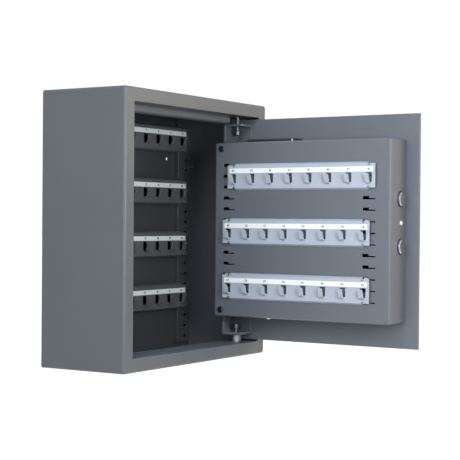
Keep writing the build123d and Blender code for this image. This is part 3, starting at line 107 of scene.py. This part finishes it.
class PaintSettings(bpy.types.PropertyGroup):
    """Colours and grain of the powder coats"""

    cabinet: colour_property("Cabinet", "Powder coat of the cabinet body", 90, 94, 99)
    # The inside coat is the cabinet's paint drawn darker: painted shade for the shadowed inside of the
    # cabinet.
    inner: colour_property("Inside", "Powder coat of the back and the uprights", 64, 65, 68)
    # The door coat is the cabinet's paint drawn lighter and bluer: painted light for the cool light on the
    # door.
    door: colour_property("Door", "Powder coat of the door and lock cover", 100, 105, 113)
    cabinet_rail: colour_property("Cabinet rails", "Powder coat of the rails in the cabinet", 92, 93, 95)
    door_rail: colour_property("Door rails", "Powder coat of the rails on the door", 180, 188, 200)
    roughness: share_property("Roughness", "How dull the powder coats are", 0.42)
    grain: length_property("Grain", "Width of one pimple in the powder coat", 0.9)
    # Edge gain draws the paint lighter along edges: a painted highlight where edges catch the light. Edge
    # also rounds the normal there.
    edge: length_property("Edge", "Width over which the paint thins and rounds at an edge", 0.5)
    edge_gain: share_property("Edge gain", "How much lighter the paint is at an edge", 0.42)


class PrintSettings(bpy.types.PropertyGroup):
    """Printed numbers on the label strips and the keys"""

    strip: colour_property("Strip", "Film of the label strips", 250, 252, 249)
    cabinet_ink: colour_property("Cabinet ink", "Numbers on the cabinet strips", 22, 24, 26)
    door_ink: colour_property("Door ink", "Numbers on the door strips", 58, 152, 84)
    key_ink: colour_property("Key ink", "Marks on the keypad's keys", 232, 234, 236)
    number_height: length_property("Number height", "Size of the type on the label strips", 4.1)
    key_height: length_property("Key mark height", "Size of the type on the keys", 8.0)
    mark_radius: length_property("Mark radius", "Distance from a plain mark's middle to its corners", 2.72)
    mark_line: length_property("Mark line", "Width of the line that a plain mark is drawn with", 0.9)
    hook_pitch: length_property("Hook pitch", "Distance between neighbouring hooks", 29.44)
    strip_rise: length_property("Strip rise", "Height of the strip's middle above the rail's middle", 8.35)
    ink: length_property("Ink", "Thickness of the print", 0.04)
    bold: length_property("Bold", "How far the type is widened on each side", 0.12)


class TabSettings(bpy.types.PropertyGroup):
    """Pull tab of the battery drawer"""

    width: length_property("Width", "Width of the tab along the drawer's edge", 2.2)
    height: length_property("Height", "Height of the tab", 3.4)
    thickness: length_property("Thickness", "How far the tab stands out", 0.35)
    inset: length_property("Inset", "Distance from the drawer's far end to the tab's middle", 71.2)
    drop: length_property("Drop", "Distance from the drawer's top to the tab's top", 0.9)
    rounding: length_property("Rounding", "Width of the tab's rounded edges", 0.15)


class StudioSettings(bpy.types.PropertyGroup):
    """Floor, camera and lights"""

    camera_x: length_property("Camera X", "Camera's place across the cabinet", -1422.64)
    camera_y: length_property("Camera Y", "Camera's place in front of the wall face", -1073.53)
    camera_z: length_property("Camera Z", "Camera's height above the cabinet's middle", 12.98)
    yaw: angle_property("Yaw", "Turn of the camera to the right of the cabinet's depth", -57.7404)
    pitch: angle_property("Pitch", "Tilt of the camera", -0.4358)
    roll: angle_property("Roll", "Roll of the camera", 0.453)
    lens: bpy.props.FloatProperty(
        name="Lens", description="Focal length on a 36 mm wide sensor", default=101.73, unit="CAMERA",
    )
    front_power: power_property("Front lamp", "Warm lamp in front, on the hinge side", 16.5)
    side_power: power_property("Side lamp", "Lamp on the left, level with the cabinet", 6.3)
    left_power: power_property("Left lamp", "Lamp on the left, above the cabinet", 8.2)
    near_power: power_property("Near lamp", "Small lamp close in front of the cabinet's left side", 4.7)
    top_power: power_property("Top lamp", "Cool lamp above the cabinet", 30.0)
    surround: share_property("Surround", "Strength of the even light from all sides", 0.02)
    hang: length_property("Hang", "Height of the cabinet's underside above the floor", 600.0)
    floor_width: length_property("Floor width", "Width of the square floor", 80000.0)


# Each lamp's name, its place and width in metres, the setting with its power, and its colour
LAMPS = (
    ("front_lamp", (1.3, -1.8, 0.6), 0.9, "front_power", tone(255, 230, 184)),
    ("side_lamp", (-1.5, -0.2, 0.2), 0.8, "side_power", tone(255, 254, 252)),
    ("left_lamp", (-1.0, -0.6, 0.75), 0.7, "left_power", tone(244, 250, 255)),
    ("near_lamp", (-0.42, -0.92, 0.12), 0.3, "near_power", tone(246, 250, 255)),
    ("top_lamp", (0.0, -0.4, 2.4), 1.6, "top_power", tone(186, 218, 255)),
)


def settings(name):
    return getattr(bpy.context.scene, name)


# Modelling helpers

def clear_selection():
    if bpy.context.mode != "OBJECT":
        bpy.ops.object.mode_set(mode="OBJECT")
    bpy.ops.object.select_all(action="DESELECT")


def pick(*pieces):
    """Selects just these pieces, the last one active."""
    clear_selection()
    for piece in pieces:
        piece.select_set(True)
    bpy.context.view_layer.objects.active = pieces[-1]


def settle(piece):
    """Puts a piece's place and turn into its mesh, with the object itself at the origin."""
    pick(piece)
    bpy.ops.object.transform_apply(location=True, rotation=True, scale=True)


def finish_piece(piece, name, body, material):
    """Names a piece, hangs it on its body and gives it its finish."""
    piece.name = name
    piece.data.name = name
    piece.data.materials.clear()
    piece.data.materials.append(material)
    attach(piece, body)


def print_text(words, place, turn, height):
    """One printed word as a thin mesh, centred on a place."""
    sheet = settings("key_cabinet_print")
    clear_selection()
    bpy.ops.object.text_add(location=place, rotation=turn)
    text = bpy.context.object
    text.data.body = words
    text.data.size = height
    text.data.align_x = "CENTER"
    text.data.align_y = "CENTER"
    text.data.extrude = sheet.ink / 2
    text.data.offset = sheet.bold
    text.data.resolution_u = 3
    pick(text)
    bpy.ops.object.convert(target="MESH")
    printed = bpy.context.object
    settle(printed)
    return printed


def join_pieces(pieces):
    """Joins pieces into one mesh and returns it."""
    if len(pieces) > 1:
        pick(*pieces)
        bpy.ops.object.join()
    return bpy.context.view_layer.objects.active


def key_face(key, lift):
    """The middle of a key's outer face, lifted off it a little."""
    low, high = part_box(key)
    return (high.x + lift, (low.y + high.y) / 2, (low.z + high.z) / 2)


# Shader groups that several finishes share

def new_group(name, inputs, outputs):
    group = bpy.data.node_groups.new(name, "ShaderNodeTree")
    for label, value in inputs:
        socket = group.interface.new_socket(name=label, in_out="INPUT", socket_type="NodeSocketFloat")
        socket.default_value = value
    for label, kind in outputs:
        group.interface.new_socket(name=label, in_out="OUTPUT", socket_type=kind)
    start = group.nodes.new("NodeGroupInput")
    end = group.nodes.new("NodeGroupOutput")
    return group, start, end


def grain_group():
    """Fine pimples for a coat or a moulding, and broad patches for its colour."""
    if "coat_grain" in bpy.data.node_groups:
        return bpy.data.node_groups["coat_grain"]
    group, start, end = new_group(
        "coat_grain",
        [("Grain scale", 1100.0), ("Patch scale", 14.0)],
        [("Height", "NodeSocketFloat"), ("Patch", "NodeSocketFloat")],
    )
    nodes, links = group.nodes, group.links
    place = nodes.new("ShaderNodeTexCoord")
    fine = nodes.new("ShaderNodeTexNoise")
    fine.inputs["Detail"].default_value = 3.0
    fine.inputs["Roughness"].default_value = 0.6
    broad = nodes.new("ShaderNodeTexNoise")
    broad.inputs["Detail"].default_value = 4.0
    links.new(place.outputs["Object"], fine.inputs["Vector"])
    links.new(place.outputs["Object"], broad.inputs["Vector"])
    links.new(start.outputs["Grain scale"], fine.inputs["Scale"])
    links.new(start.outputs["Patch scale"], broad.inputs["Scale"])
    links.new(fine.outputs["Fac"], end.inputs["Height"])
    links.new(broad.outputs["Fac"], end.inputs["Patch"])
    return group


def edge_group():
    """A mask that is light along sharp edges, and a normal that rounds them a little."""
    if "thin_edge" in bpy.data.node_groups:
        return bpy.data.node_groups["thin_edge"]
    group, start, end = new_group(
        "thin_edge",
        [("Radius", 0.5 * MM), ("Gain", 4.0)],
        [("Edge", "NodeSocketFloat"), ("Normal", "NodeSocketVector")],
    )
    nodes, links = group.nodes, group.links
    rounded = nodes.new("ShaderNodeBevel")
    rounded.samples = 6
    flat = nodes.new("ShaderNodeNewGeometry")
    dot = nodes.new("ShaderNodeVectorMath")
    dot.operation = "DOT_PRODUCT"
    turn = nodes.new("ShaderNodeMath")
    turn.operation = "SUBTRACT"
    turn.inputs[0].default_value = 1.0
    gain = nodes.new("ShaderNodeMath")
    gain.operation = "MULTIPLY"
    gain.use_clamp = True
    links.new(start.outputs["Radius"], rounded.inputs["Radius"])
    links.new(rounded.outputs["Normal"], dot.inputs[0])
    links.new(flat.outputs["Normal"], dot.inputs[1])
    links.new(dot.outputs["Value"], turn.inputs[1])
    links.new(turn.outputs["Value"], gain.inputs[0])
    links.new(start.outputs["Gain"], gain.inputs[1])
    links.new(gain.outputs["Value"], end.inputs["Edge"])
    links.new(rounded.outputs["Normal"], end.inputs["Normal"])
    return group


# Finishes

def new_finish(name):
    material = bpy.data.materials.new(name)
    material.use_nodes = True
    shader = material.node_tree.nodes["Principled BSDF"]
    return material, material.node_tree.nodes, material.node_tree.links, shader


def place_group(nodes, group, values):
    box = nodes.new("ShaderNodeGroup")
    box.node_tree = group
    for label, value in values.items():
        box.inputs[label].default_value = value
    return box


def mix_colours(nodes, links, mask, first, second):
    """A colour that runs from the first to the second as the mask rises."""
    mix = nodes.new("ShaderNodeMix")
    mix.data_type = "RGBA"
    links.new(mask, mix.inputs["Factor"])
    for socket, colour in ((mix.inputs["A"], first), (mix.inputs["B"], second)):
        if isinstance(colour, bpy.types.NodeSocket):
            links.new(colour, socket)
        else:
            socket.default_value = (*colour, 1.0)
    return mix.outputs["Result"]


def spread(nodes, links, mask, low, high):
    """A value that runs from low to high as the mask runs over its usual range."""
    span = nodes.new("ShaderNodeMapRange")
    span.inputs["From Min"].default_value = 0.3
    span.inputs["From Max"].default_value = 0.7
    span.inputs["To Min"].default_value = low
    span.inputs["To Max"].default_value = high
    links.new(mask, span.inputs["Value"])
    return span.outputs["Result"]


def lighter(colour, share):
    return tuple(part + (1.0 - part) * share for part in colour)


def darker(colour, share):
    return tuple(part * (1.0 - share) for part in colour)


def raise_grain(nodes, links, shader, height, normal, strength, depth):
    bump = nodes.new("ShaderNodeBump")
    bump.inputs["Strength"].default_value = strength
    bump.inputs["Distance"].default_value = depth
    links.new(height, bump.inputs["Height"])
    if normal is not None:
        links.new(normal, bump.inputs["Normal"])
    links.new(bump.outputs["Normal"], shader.inputs["Normal"])


def powder_coat(name, colour):
    """Baked powder paint: a fine orange peel, soft edges drawn lighter as a painted highlight, and a satin
    sheen.
    """
    paint = settings("key_cabinet_paint")
    colour = tuple(colour)
    material, nodes, links, shader = new_finish(name)
    grain = place_group(nodes, grain_group(), {"Grain scale": 1 / paint.grain, "Patch scale": 9.0})
    edge = place_group(nodes, edge_group(), {"Radius": paint.edge, "Gain": 3.0})
    patchy = mix_colours(nodes, links, grain.outputs["Patch"], darker(colour, 0.07), lighter(colour, 0.012))
    # Lighter along the edges: a painted highlight.
    painted_edge_highlight = mix_colours(nodes, links, edge.outputs["Edge"], patchy, lighter(colour, paint.edge_gain))
    links.new(painted_edge_highlight, shader.inputs["Base Color"])
    rough = spread(nodes, links, grain.outputs["Patch"], paint.roughness - 0.05, paint.roughness + 0.06)
    links.new(rough, shader.inputs["Roughness"])
    raise_grain(
        nodes, links, shader, grain.outputs["Height"], edge.outputs["Normal"],
        strength=0.35, depth=0.05 * MM,
    )
    return material


def plated_metal(name, colour, roughness, direction, strength):
    """Metal with fine drawn or turned lines along one direction."""
    material, nodes, links, shader = new_finish(name)
    shader.inputs["Metallic"].default_value = 1.0
    place = nodes.new("ShaderNodeTexCoord")
    along = 60.0
    across = 2400.0
    stretch = nodes.new("ShaderNodeMapping")
    stretch.inputs["Scale"].default_value = [along if axis == direction else across for axis in "XYZ"]
    lines = nodes.new("ShaderNodeTexNoise")
    lines.inputs["Scale"].default_value = 1.0
    lines.inputs["Detail"].default_value = 4.0
    grain = place_group(nodes, grain_group(), {"Grain scale": 900.0, "Patch scale": 60.0})
    links.new(place.outputs["Object"], stretch.inputs["Vector"])
    links.new(stretch.outputs["Vector"], lines.inputs["Vector"])
    tinted = mix_colours(nodes, links, grain.outputs["Patch"], darker(colour, 0.16), colour)
    links.new(tinted, shader.inputs["Base Color"])
    rough = spread(nodes, links, lines.outputs["Fac"], roughness * 0.7, roughness * 1.4)
    links.new(rough, shader.inputs["Roughness"])
    edge = place_group(nodes, edge_group(), {"Radius": 0.3 * MM, "Gain": 3.0})
    raise_grain(
        nodes, links, shader, lines.outputs["Fac"], edge.outputs["Normal"],
        strength=strength, depth=0.03 * MM,
    )
    return material


def moulded_plastic(name, colour, roughness):
    """Plastic with a fine spark-eroded grain and a painted highlight along its edges."""
    material, nodes, links, shader = new_finish(name)
    grain = place_group(nodes, grain_group(), {"Grain scale": 2200.0, "Patch scale": 30.0})
    edge = place_group(nodes, edge_group(), {"Radius": 0.4 * MM, "Gain": 2.5})
    patchy = mix_colours(nodes, links, grain.outputs["Patch"], darker(colour, 0.12), lighter(colour, 0.015))
    # Lighter along the edges: a painted highlight.
    painted_edge_highlight = mix_colours(nodes, links, edge.outputs["Edge"], patchy, lighter(colour, 0.08))
    links.new(painted_edge_highlight, shader.inputs["Base Color"])
    rough = spread(nodes, links, grain.outputs["Height"], roughness - 0.06, roughness + 0.08)
    links.new(rough, shader.inputs["Roughness"])
    raise_grain(
        nodes, links, shader, grain.outputs["Height"], edge.outputs["Normal"],
        strength=0.4, depth=0.04 * MM,
    )
    return material


def printed_film(name, colour, roughness):
    """Thin matt film or ink."""
    material, nodes, links, shader = new_finish(name)
    grain = place_group(nodes, grain_group(), {"Grain scale": 3000.0, "Patch scale": 40.0})
    patchy = mix_colours(nodes, links, grain.outputs["Patch"], darker(colour, 0.05), colour)
    links.new(patchy, shader.inputs["Base Color"])
    rough = spread(nodes, links, grain.outputs["Height"], roughness - 0.05, roughness + 0.05)
    links.new(rough, shader.inputs["Roughness"])
    raise_grain(nodes, links, shader, grain.outputs["Height"], None, strength=0.15, depth=0.02 * MM)
    return material


def circuit_board(name):
    """Green coated board with faint tracks."""
    material, nodes, links, shader = new_finish(name)
    place = nodes.new("ShaderNodeTexCoord")
    tracks = nodes.new("ShaderNodeTexBrick")
    tracks.inputs["Scale"].default_value = 160.0
    tracks.inputs["Mortar Size"].default_value = 0.06
    tracks.inputs["Color1"].default_value = (*tone(24, 92, 52), 1.0)
    tracks.inputs["Color2"].default_value = (*tone(28, 104, 60), 1.0)
    tracks.inputs["Mortar"].default_value = (*tone(52, 140, 84), 1.0)
    turn = nodes.new("ShaderNodeMapping")
    turn.inputs["Rotation"].default_value = (0.0, SIDEWAYS, 0.0)
    links.new(place.outputs["Object"], turn.inputs["Vector"])
    links.new(turn.outputs["Vector"], tracks.inputs["Vector"])
    links.new(tracks.outputs["Color"], shader.inputs["Base Color"])
    shader.inputs["Roughness"].default_value = 0.3
    raise_grain(nodes, links, shader, tracks.outputs["Fac"], None, strength=0.3, depth=0.05 * MM)
    return material


def dress(material, names):
    """Gives CAD nodes a finish. Their shapes stay as they are."""
    for name in names:
        node = NODES[name]
        node.data.materials.clear()
        node.data.materials.append(material)


# Operators: one for each group of pieces

class FinishCabinet(bpy.types.Operator):
    """Paints the cabinet body, its back, uprights and channel"""

    bl_idname = "key_cabinet.finish_cabinet"
    bl_label = "Finish the cabinet"

    def execute(self, context):
        paint = settings("key_cabinet_paint")
        dress(powder_coat("cabinet_coat", paint.cabinet), ["body_shell", "guard_channel"])
        # The back and the uprights take the darker inside coat, which is painted shade.
        dress(powder_coat("inner_coat", paint.inner), ["back_panel", "upright_left", "upright_right"])
        zinc = plated_metal(
            "zinc_plate", tone(140, 142, 146), roughness=0.38, direction="Z", strength=0.2,
        )
        dress(zinc, ["side_rivets", "hinge_nuts", "hinge_bush"])
        # The hinge pins' steel is drawn dark: painted shade for the dark inside of the cabinet that the
        # pins mirror.
        pin = plated_metal(
            "turned_steel", tone(96, 98, 102), roughness=0.36, direction="X", strength=0.25,
        )
        dress(pin, ["hinge_pin_top", "hinge_pin_bottom"])
        return {"FINISHED"}


class FinishDoor(bpy.types.Operator):
    """Paints the door, its brackets and the lock cover"""

    bl_idname = "key_cabinet.finish_door"
    bl_label = "Finish the door"

    def execute(self, context):
        paint = settings("key_cabinet_paint")
        # The door's coat is drawn lighter and bluer than the cabinet's: painted light.
        coat = powder_coat("door_coat", paint.door)
        dress(coat, ["door_plate", "hinge_bracket_top", "hinge_bracket_bottom", "lock_cover"])
        black = plated_metal(
            "black_oxide", tone(78, 79, 82), roughness=0.25, direction="Z", strength=0.2,
        )
        dress(black, ["cover_screws"])
        bright = plated_metal(
            "bright_zinc", tone(228, 229, 231), roughness=0.42, direction="Y", strength=0.15,
        )
        dress(bright, ["cover_side_screws"])
        zinc = bpy.data.materials["zinc_plate"]
        dress(zinc, ["cover_posts", "cover_tab", "housing_screws"])
        return {"FINISHED"}


class FinishRails(bpy.types.Operator):
    """Paints the key rails and their label strips"""

    bl_idname = "key_cabinet.finish_rails"
    bl_label = "Finish the key rails"

    def execute(self, context):
        paint = settings("key_cabinet_paint")
        sheet = settings("key_cabinet_print")
        dress(powder_coat("cabinet_rail_coat", paint.cabinet_rail), CABINET_RAILS)
        dress(powder_coat("door_rail_coat", paint.door_rail), DOOR_RAILS)
        film = printed_film("strip_film", sheet.strip, roughness=0.5)
        dress(film, ["cabinet_label_strips", "door_label_strips"])
        return {"FINISHED"}


class FinishLock(bpy.types.Operator):
    """Finishes the bolts and what moves them"""

    bl_idname = "key_cabinet.finish_lock"
    bl_label = "Finish the lock works"

    def execute(self, context):
        chrome = plated_metal(
            "bolt_chrome", tone(168, 170, 175), roughness=0.2, direction="Y", strength=0.12,
        )
        dress(chrome, ["locking_bolt_upper", "locking_bolt_lower", "override_barrel", "override_cap"])
        zinc = bpy.data.materials["zinc_plate"]
        dress(zinc, ["bolt_bar", "drive_plate", "bolt_screws", "bolt_chassis", "crank", "handle_spindle"])
        dress(bpy.data.materials["turned_steel"], ["blocking_plunger"])
        case = plated_metal(
            "magnet_case", tone(60, 62, 66), roughness=0.4, direction="Z", strength=0.2,
        )
        dress(case, ["magnet_body"])
        brass = plated_metal(
            "plug_brass", tone(196, 164, 96), roughness=0.28, direction="X", strength=0.2,
        )
        dress(brass, ["override_plug"])
        return {"FINISHED"}


class FinishKeypad(bpy.types.Operator):
    """Finishes the keypad, the handle and the battery pack"""

    bl_idname = "key_cabinet.finish_keypad"
    bl_label = "Finish the keypad and handle"

    def execute(self, context):
        shell = moulded_plastic("black_moulding", tone(26, 27, 29), roughness=0.45)
        dress(shell, ["keypad_housing", "handle_rose", "handle_knob", "battery_holder", "battery_drawer"])
        caps = moulded_plastic("key_moulding", tone(112, 117, 124), roughness=0.38)
        dress(caps, [*DIGIT_KEYS, "key_clear", "key_enter"])
        dress(circuit_board("board_coat"), ["keypad_board"])
        wrap = printed_film("cell_wrap", tone(70, 84, 104), roughness=0.35)
        dress(wrap, ["battery_cells"])
        return {"FINISHED"}


class PrintRailNumbers(bpy.types.Operator):
    """Prints a running number above every hook"""

    bl_idname = "key_cabinet.print_rail_numbers"
    bl_label = "Print the rail numbers"

    def execute(self, context):
        sheet = settings("key_cabinet_print")
        dark = printed_film("cabinet_ink", tuple(sheet.cabinet_ink), roughness=0.6)
        green = printed_film("door_ink", tuple(sheet.door_ink), roughness=0.6)
        number = 1
        for rail in CABINET_RAILS:
            number = self.print_rail(rail, number, "cabinet", dark)
        for rail in DOOR_RAILS:
            number = self.print_rail(rail, number, "door", green)
        return {"FINISHED"}

    def print_rail(self, rail, number, body, ink):
        """Prints one rail's numbers and returns the number that comes next."""
        sheet = settings("key_cabinet_print")
        low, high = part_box(rail)
        strip_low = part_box(f"{body}_label_strips")[0]
        middle = (low + high) / 2
        across = 1 if body == "door" else 0
        hooks = round((high[across] - low[across]) / sheet.hook_pitch)
        printed = []
        for count in range(hooks):
            along = (count - (hooks - 1) / 2) * sheet.hook_pitch
            height = middle.z + sheet.strip_rise
            if body == "door":
                place = (strip_low.x - sheet.ink / 2, middle.y - along, height)
                turn = (SIDEWAYS, 0.0, -SIDEWAYS)
            else:
                place = (middle.x + along, strip_low.y - sheet.ink / 2, height)
                turn = (SIDEWAYS, 0.0, 0.0)
            printed.append(print_text(str(number + count), place, turn, sheet.number_height))
        finish_piece(join_pieces(printed), f"{rail}_numbers", body, ink)
        return number + hooks


class MarkKeys(bpy.types.Operator):
    """Prints a digit or a plain mark on each key of the keypad"""

    bl_idname = "key_cabinet.mark_keys"
    bl_label = "Mark the keys"

    def execute(self, context):
        sheet = settings("key_cabinet_print")
        ink = printed_film("key_ink", tuple(sheet.key_ink), roughness=0.45)
        turn = (SIDEWAYS, 0.0, SIDEWAYS)
        for key in DIGIT_KEYS:
            mark = print_text(key[-1], key_face(key, sheet.ink / 2), turn, sheet.key_height)
            finish_piece(mark, f"{key}_mark", key, ink)
        for key, corners in (("key_clear", 4), ("key_enter", 3)):
            finish_piece(self.plain_mark(key, corners), f"{key}_mark", key, ink)
        return {"FINISHED"}

    def plain_mark(self, key, corners):
        """An open square or triangle, drawn as a thin frame."""
        sheet = settings("key_cabinet_print")
        clear_selection()
        bpy.ops.mesh.primitive_circle_add(
            vertices=corners, radius=sheet.mark_radius, fill_type="NGON",
            location=key_face(key, sheet.ink / 2), rotation=(0.0, SIDEWAYS, 0.0),
        )
        mark = bpy.context.object
        bpy.ops.object.mode_set(mode="EDIT")
        bpy.ops.mesh.select_all(action="SELECT")
        bpy.ops.mesh.inset(thickness=sheet.mark_line)
        bpy.ops.mesh.delete(type="FACE")
        bpy.ops.object.mode_set(mode="OBJECT")
        settle(mark)
        thick = mark.modifiers.new("ink", "SOLIDIFY")
        thick.thickness = sheet.ink
        thick.offset = 0.0
        bpy.ops.object.modifier_apply(modifier="ink")
        return mark


class MakeDrawerTab(bpy.types.Operator):
    """Makes the pale pull tab at the edge of the battery drawer"""

    bl_idname = "key_cabinet.make_drawer_tab"
    bl_label = "Make the drawer tab"

    def execute(self, context):
        size = settings("key_cabinet_tab")
        low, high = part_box("battery_drawer")
        film = printed_film("tab_film", tone(206, 208, 208), roughness=0.5)
        middle_z = high.z - size.drop - size.height / 2
        clear_selection()
        bpy.ops.mesh.primitive_cube_add(
            size=1.0, location=(low.x - size.thickness / 2, high.y - size.inset, middle_z),
            scale=(size.thickness, size.width, size.height),
        )
        tab = bpy.context.object
        settle(tab)
        rounding = tab.modifiers.new("rounding", "BEVEL")
        rounding.width = size.rounding
        rounding.segments = 2
        bpy.ops.object.modifier_apply(modifier="rounding")
        finish_piece(tab, "drawer_tab", "battery_drawer", film)
        return {"FINISHED"}


class BuildStudio(bpy.types.Operator):
    """Sets up the floor, the lamps, the surround and the camera"""

    bl_idname = "key_cabinet.build_studio"
    bl_label = "Build the studio"

    def execute(self, context):
        studio = settings("key_cabinet_studio")
        self.add_floor(studio)
        for name, place, size, power, colour in LAMPS:
            self.add_lamp(name, place, size, getattr(studio, power), colour)
        self.add_surround(context.scene, studio.surround)
        self.add_camera(context.scene, studio)
        context.scene.view_settings.view_transform = "Standard"
        return {"FINISHED"}

    def add_floor(self, studio):
        """A wide pale floor that shows white to the camera."""
        clear_selection()
        place = (0.0, 0.0, CAD_BOX[0][2] - studio.hang)
        bpy.ops.mesh.primitive_plane_add(size=studio.floor_width, location=place)
        floor = bpy.context.object
        floor.name = "studio_floor"
        material, nodes, links, shader = new_finish("floor_white")
        grain = place_group(nodes, grain_group(), {"Grain scale": 400.0, "Patch scale": 1.5})
        pale = tone(246, 246, 246)
        patchy = mix_colours(nodes, links, grain.outputs["Patch"], darker(pale, 0.02), pale)
        links.new(patchy, shader.inputs["Base Color"])
        shader.inputs["Roughness"].default_value = 0.9
        shader.inputs["Emission Color"].default_value = (1.0, 1.0, 1.0, 1.0)
        # What the camera gets from the floor, even light and all, is a little over plain white
        white = 1.05
        lift = nodes.new("ShaderNodeMath")
        lift.operation = "MULTIPLY"
        lift.inputs[1].default_value = white - studio.surround * pale[0]
        links.new(self.looking_rays(nodes, links), lift.inputs[0])
        links.new(lift.outputs["Value"], shader.inputs["Emission Strength"])
        floor.data.materials.append(material)

    def looking_rays(self, nodes, links):
        """One for rays from the camera, and for those that it sees mirrored or through glass."""
        rays = nodes.new("ShaderNodeLightPath")
        total = rays.outputs["Is Camera Ray"]
        for label in ("Is Glossy Ray", "Is Transmission Ray"):
            either = nodes.new("ShaderNodeMath")
            either.operation = "MAXIMUM"
            links.new(total, either.inputs[0])
            links.new(rays.outputs[label], either.inputs[1])
            total = either.outputs["Value"]
        return total

    def add_lamp(self, name, place, size, power, colour):
        """A square soft lamp aimed at the middle of the object."""
        clear_selection()
        bpy.ops.object.light_add(type="AREA", location=place)
        lamp = bpy.context.object
        lamp.name = name
        lamp.data.size = size
        lamp.data.energy = power
        lamp.data.color = colour
        middle = (Vector(CAD_BOX[0]) + Vector(CAD_BOX[1])) / 2
        lamp.rotation_euler = (middle - Vector(place)).to_track_quat("-Z", "Y").to_euler()

    def add_surround(self, scene, strength):
        """Even light all round, and plain white behind the object."""
        world = bpy.data.worlds.new("studio_surround")
        scene.world = world
        world.use_nodes = True
        nodes, links = world.node_tree.nodes, world.node_tree.links
        light = nodes["Background"]
        light.inputs["Color"].default_value = (1.0, 1.0, 1.0, 1.0)
        light.inputs["Strength"].default_value = strength
        white = nodes.new("ShaderNodeBackground")
        white.inputs["Color"].default_value = (1.0, 1.0, 1.0, 1.0)
        white.inputs["Strength"].default_value = 1.0
        choice = nodes.new("ShaderNodeMixShader")
        links.new(self.looking_rays(nodes, links), choice.inputs["Fac"])
        links.new(light.outputs["Background"], choice.inputs[1])
        links.new(white.outputs["Background"], choice.inputs[2])
        links.new(choice.outputs["Shader"], nodes["World Output"].inputs["Surface"])

    def add_camera(self, scene, studio):
        clear_selection()
        bpy.ops.object.camera_add()
        camera = bpy.context.object
        camera.name = "studio_camera"
        camera.data.lens = studio.lens
        camera.data.sensor_width = 36.0
        place = Matrix.Translation((studio.camera_x, studio.camera_y, studio.camera_z))
        turn = Matrix.Rotation(studio.yaw, 4, "Z") @ Matrix.Rotation(SIDEWAYS + studio.pitch, 4, "X")
        camera.matrix_world = place @ turn @ Matrix.Rotation(studio.roll, 4, "Z")
        scene.camera = camera


# Panel and registration

class KeyCabinetPanel(bpy.types.Panel):
    """Lists the steps and their settings"""

    bl_idname = "VIEW3D_PT_key_cabinet"
    bl_label = "Key cabinet"
    bl_space_type = "VIEW_3D"
    bl_region_type = "UI"
    bl_category = "Key cabinet"

    def draw(self, context):
        for step in STEPS:
            self.layout.operator(step.bl_idname)
        for name in SETTINGS:
            group = getattr(context.scene, name)
            box = self.layout.box()
            for label in group.__annotations__:
                box.prop(group, label)


STEPS = (
    FinishCabinet, FinishDoor, FinishRails, FinishLock, FinishKeypad,
    PrintRailNumbers, MarkKeys, MakeDrawerTab, BuildStudio,
)
SETTINGS = {
    "key_cabinet_paint": PaintSettings,
    "key_cabinet_print": PrintSettings,
    "key_cabinet_tab": TabSettings,
    "key_cabinet_studio": StudioSettings,
}


def register():
    for group in (*SETTINGS.values(), *STEPS, KeyCabinetPanel):
        bpy.utils.register_class(group)
    for name, group in SETTINGS.items():
        setattr(bpy.types.Scene, name, bpy.props.PointerProperty(type=group))


def unregister():
    for name in SETTINGS:
        delattr(bpy.types.Scene, name)
    for group in reversed((*SETTINGS.values(), *STEPS, KeyCabinetPanel)):
        bpy.utils.unregister_class(group)


def main():
    register()
    bpy.ops.key_cabinet.finish_cabinet()
    bpy.ops.key_cabinet.finish_door()
    bpy.ops.key_cabinet.finish_rails()
    bpy.ops.key_cabinet.finish_lock()
    bpy.ops.key_cabinet.finish_keypad()
    bpy.ops.key_cabinet.print_rail_numbers()
    bpy.ops.key_cabinet.mark_keys()
    bpy.ops.key_cabinet.make_drawer_tab()
    bpy.ops.key_cabinet.build_studio()


if __name__ == "__main__":
    main()
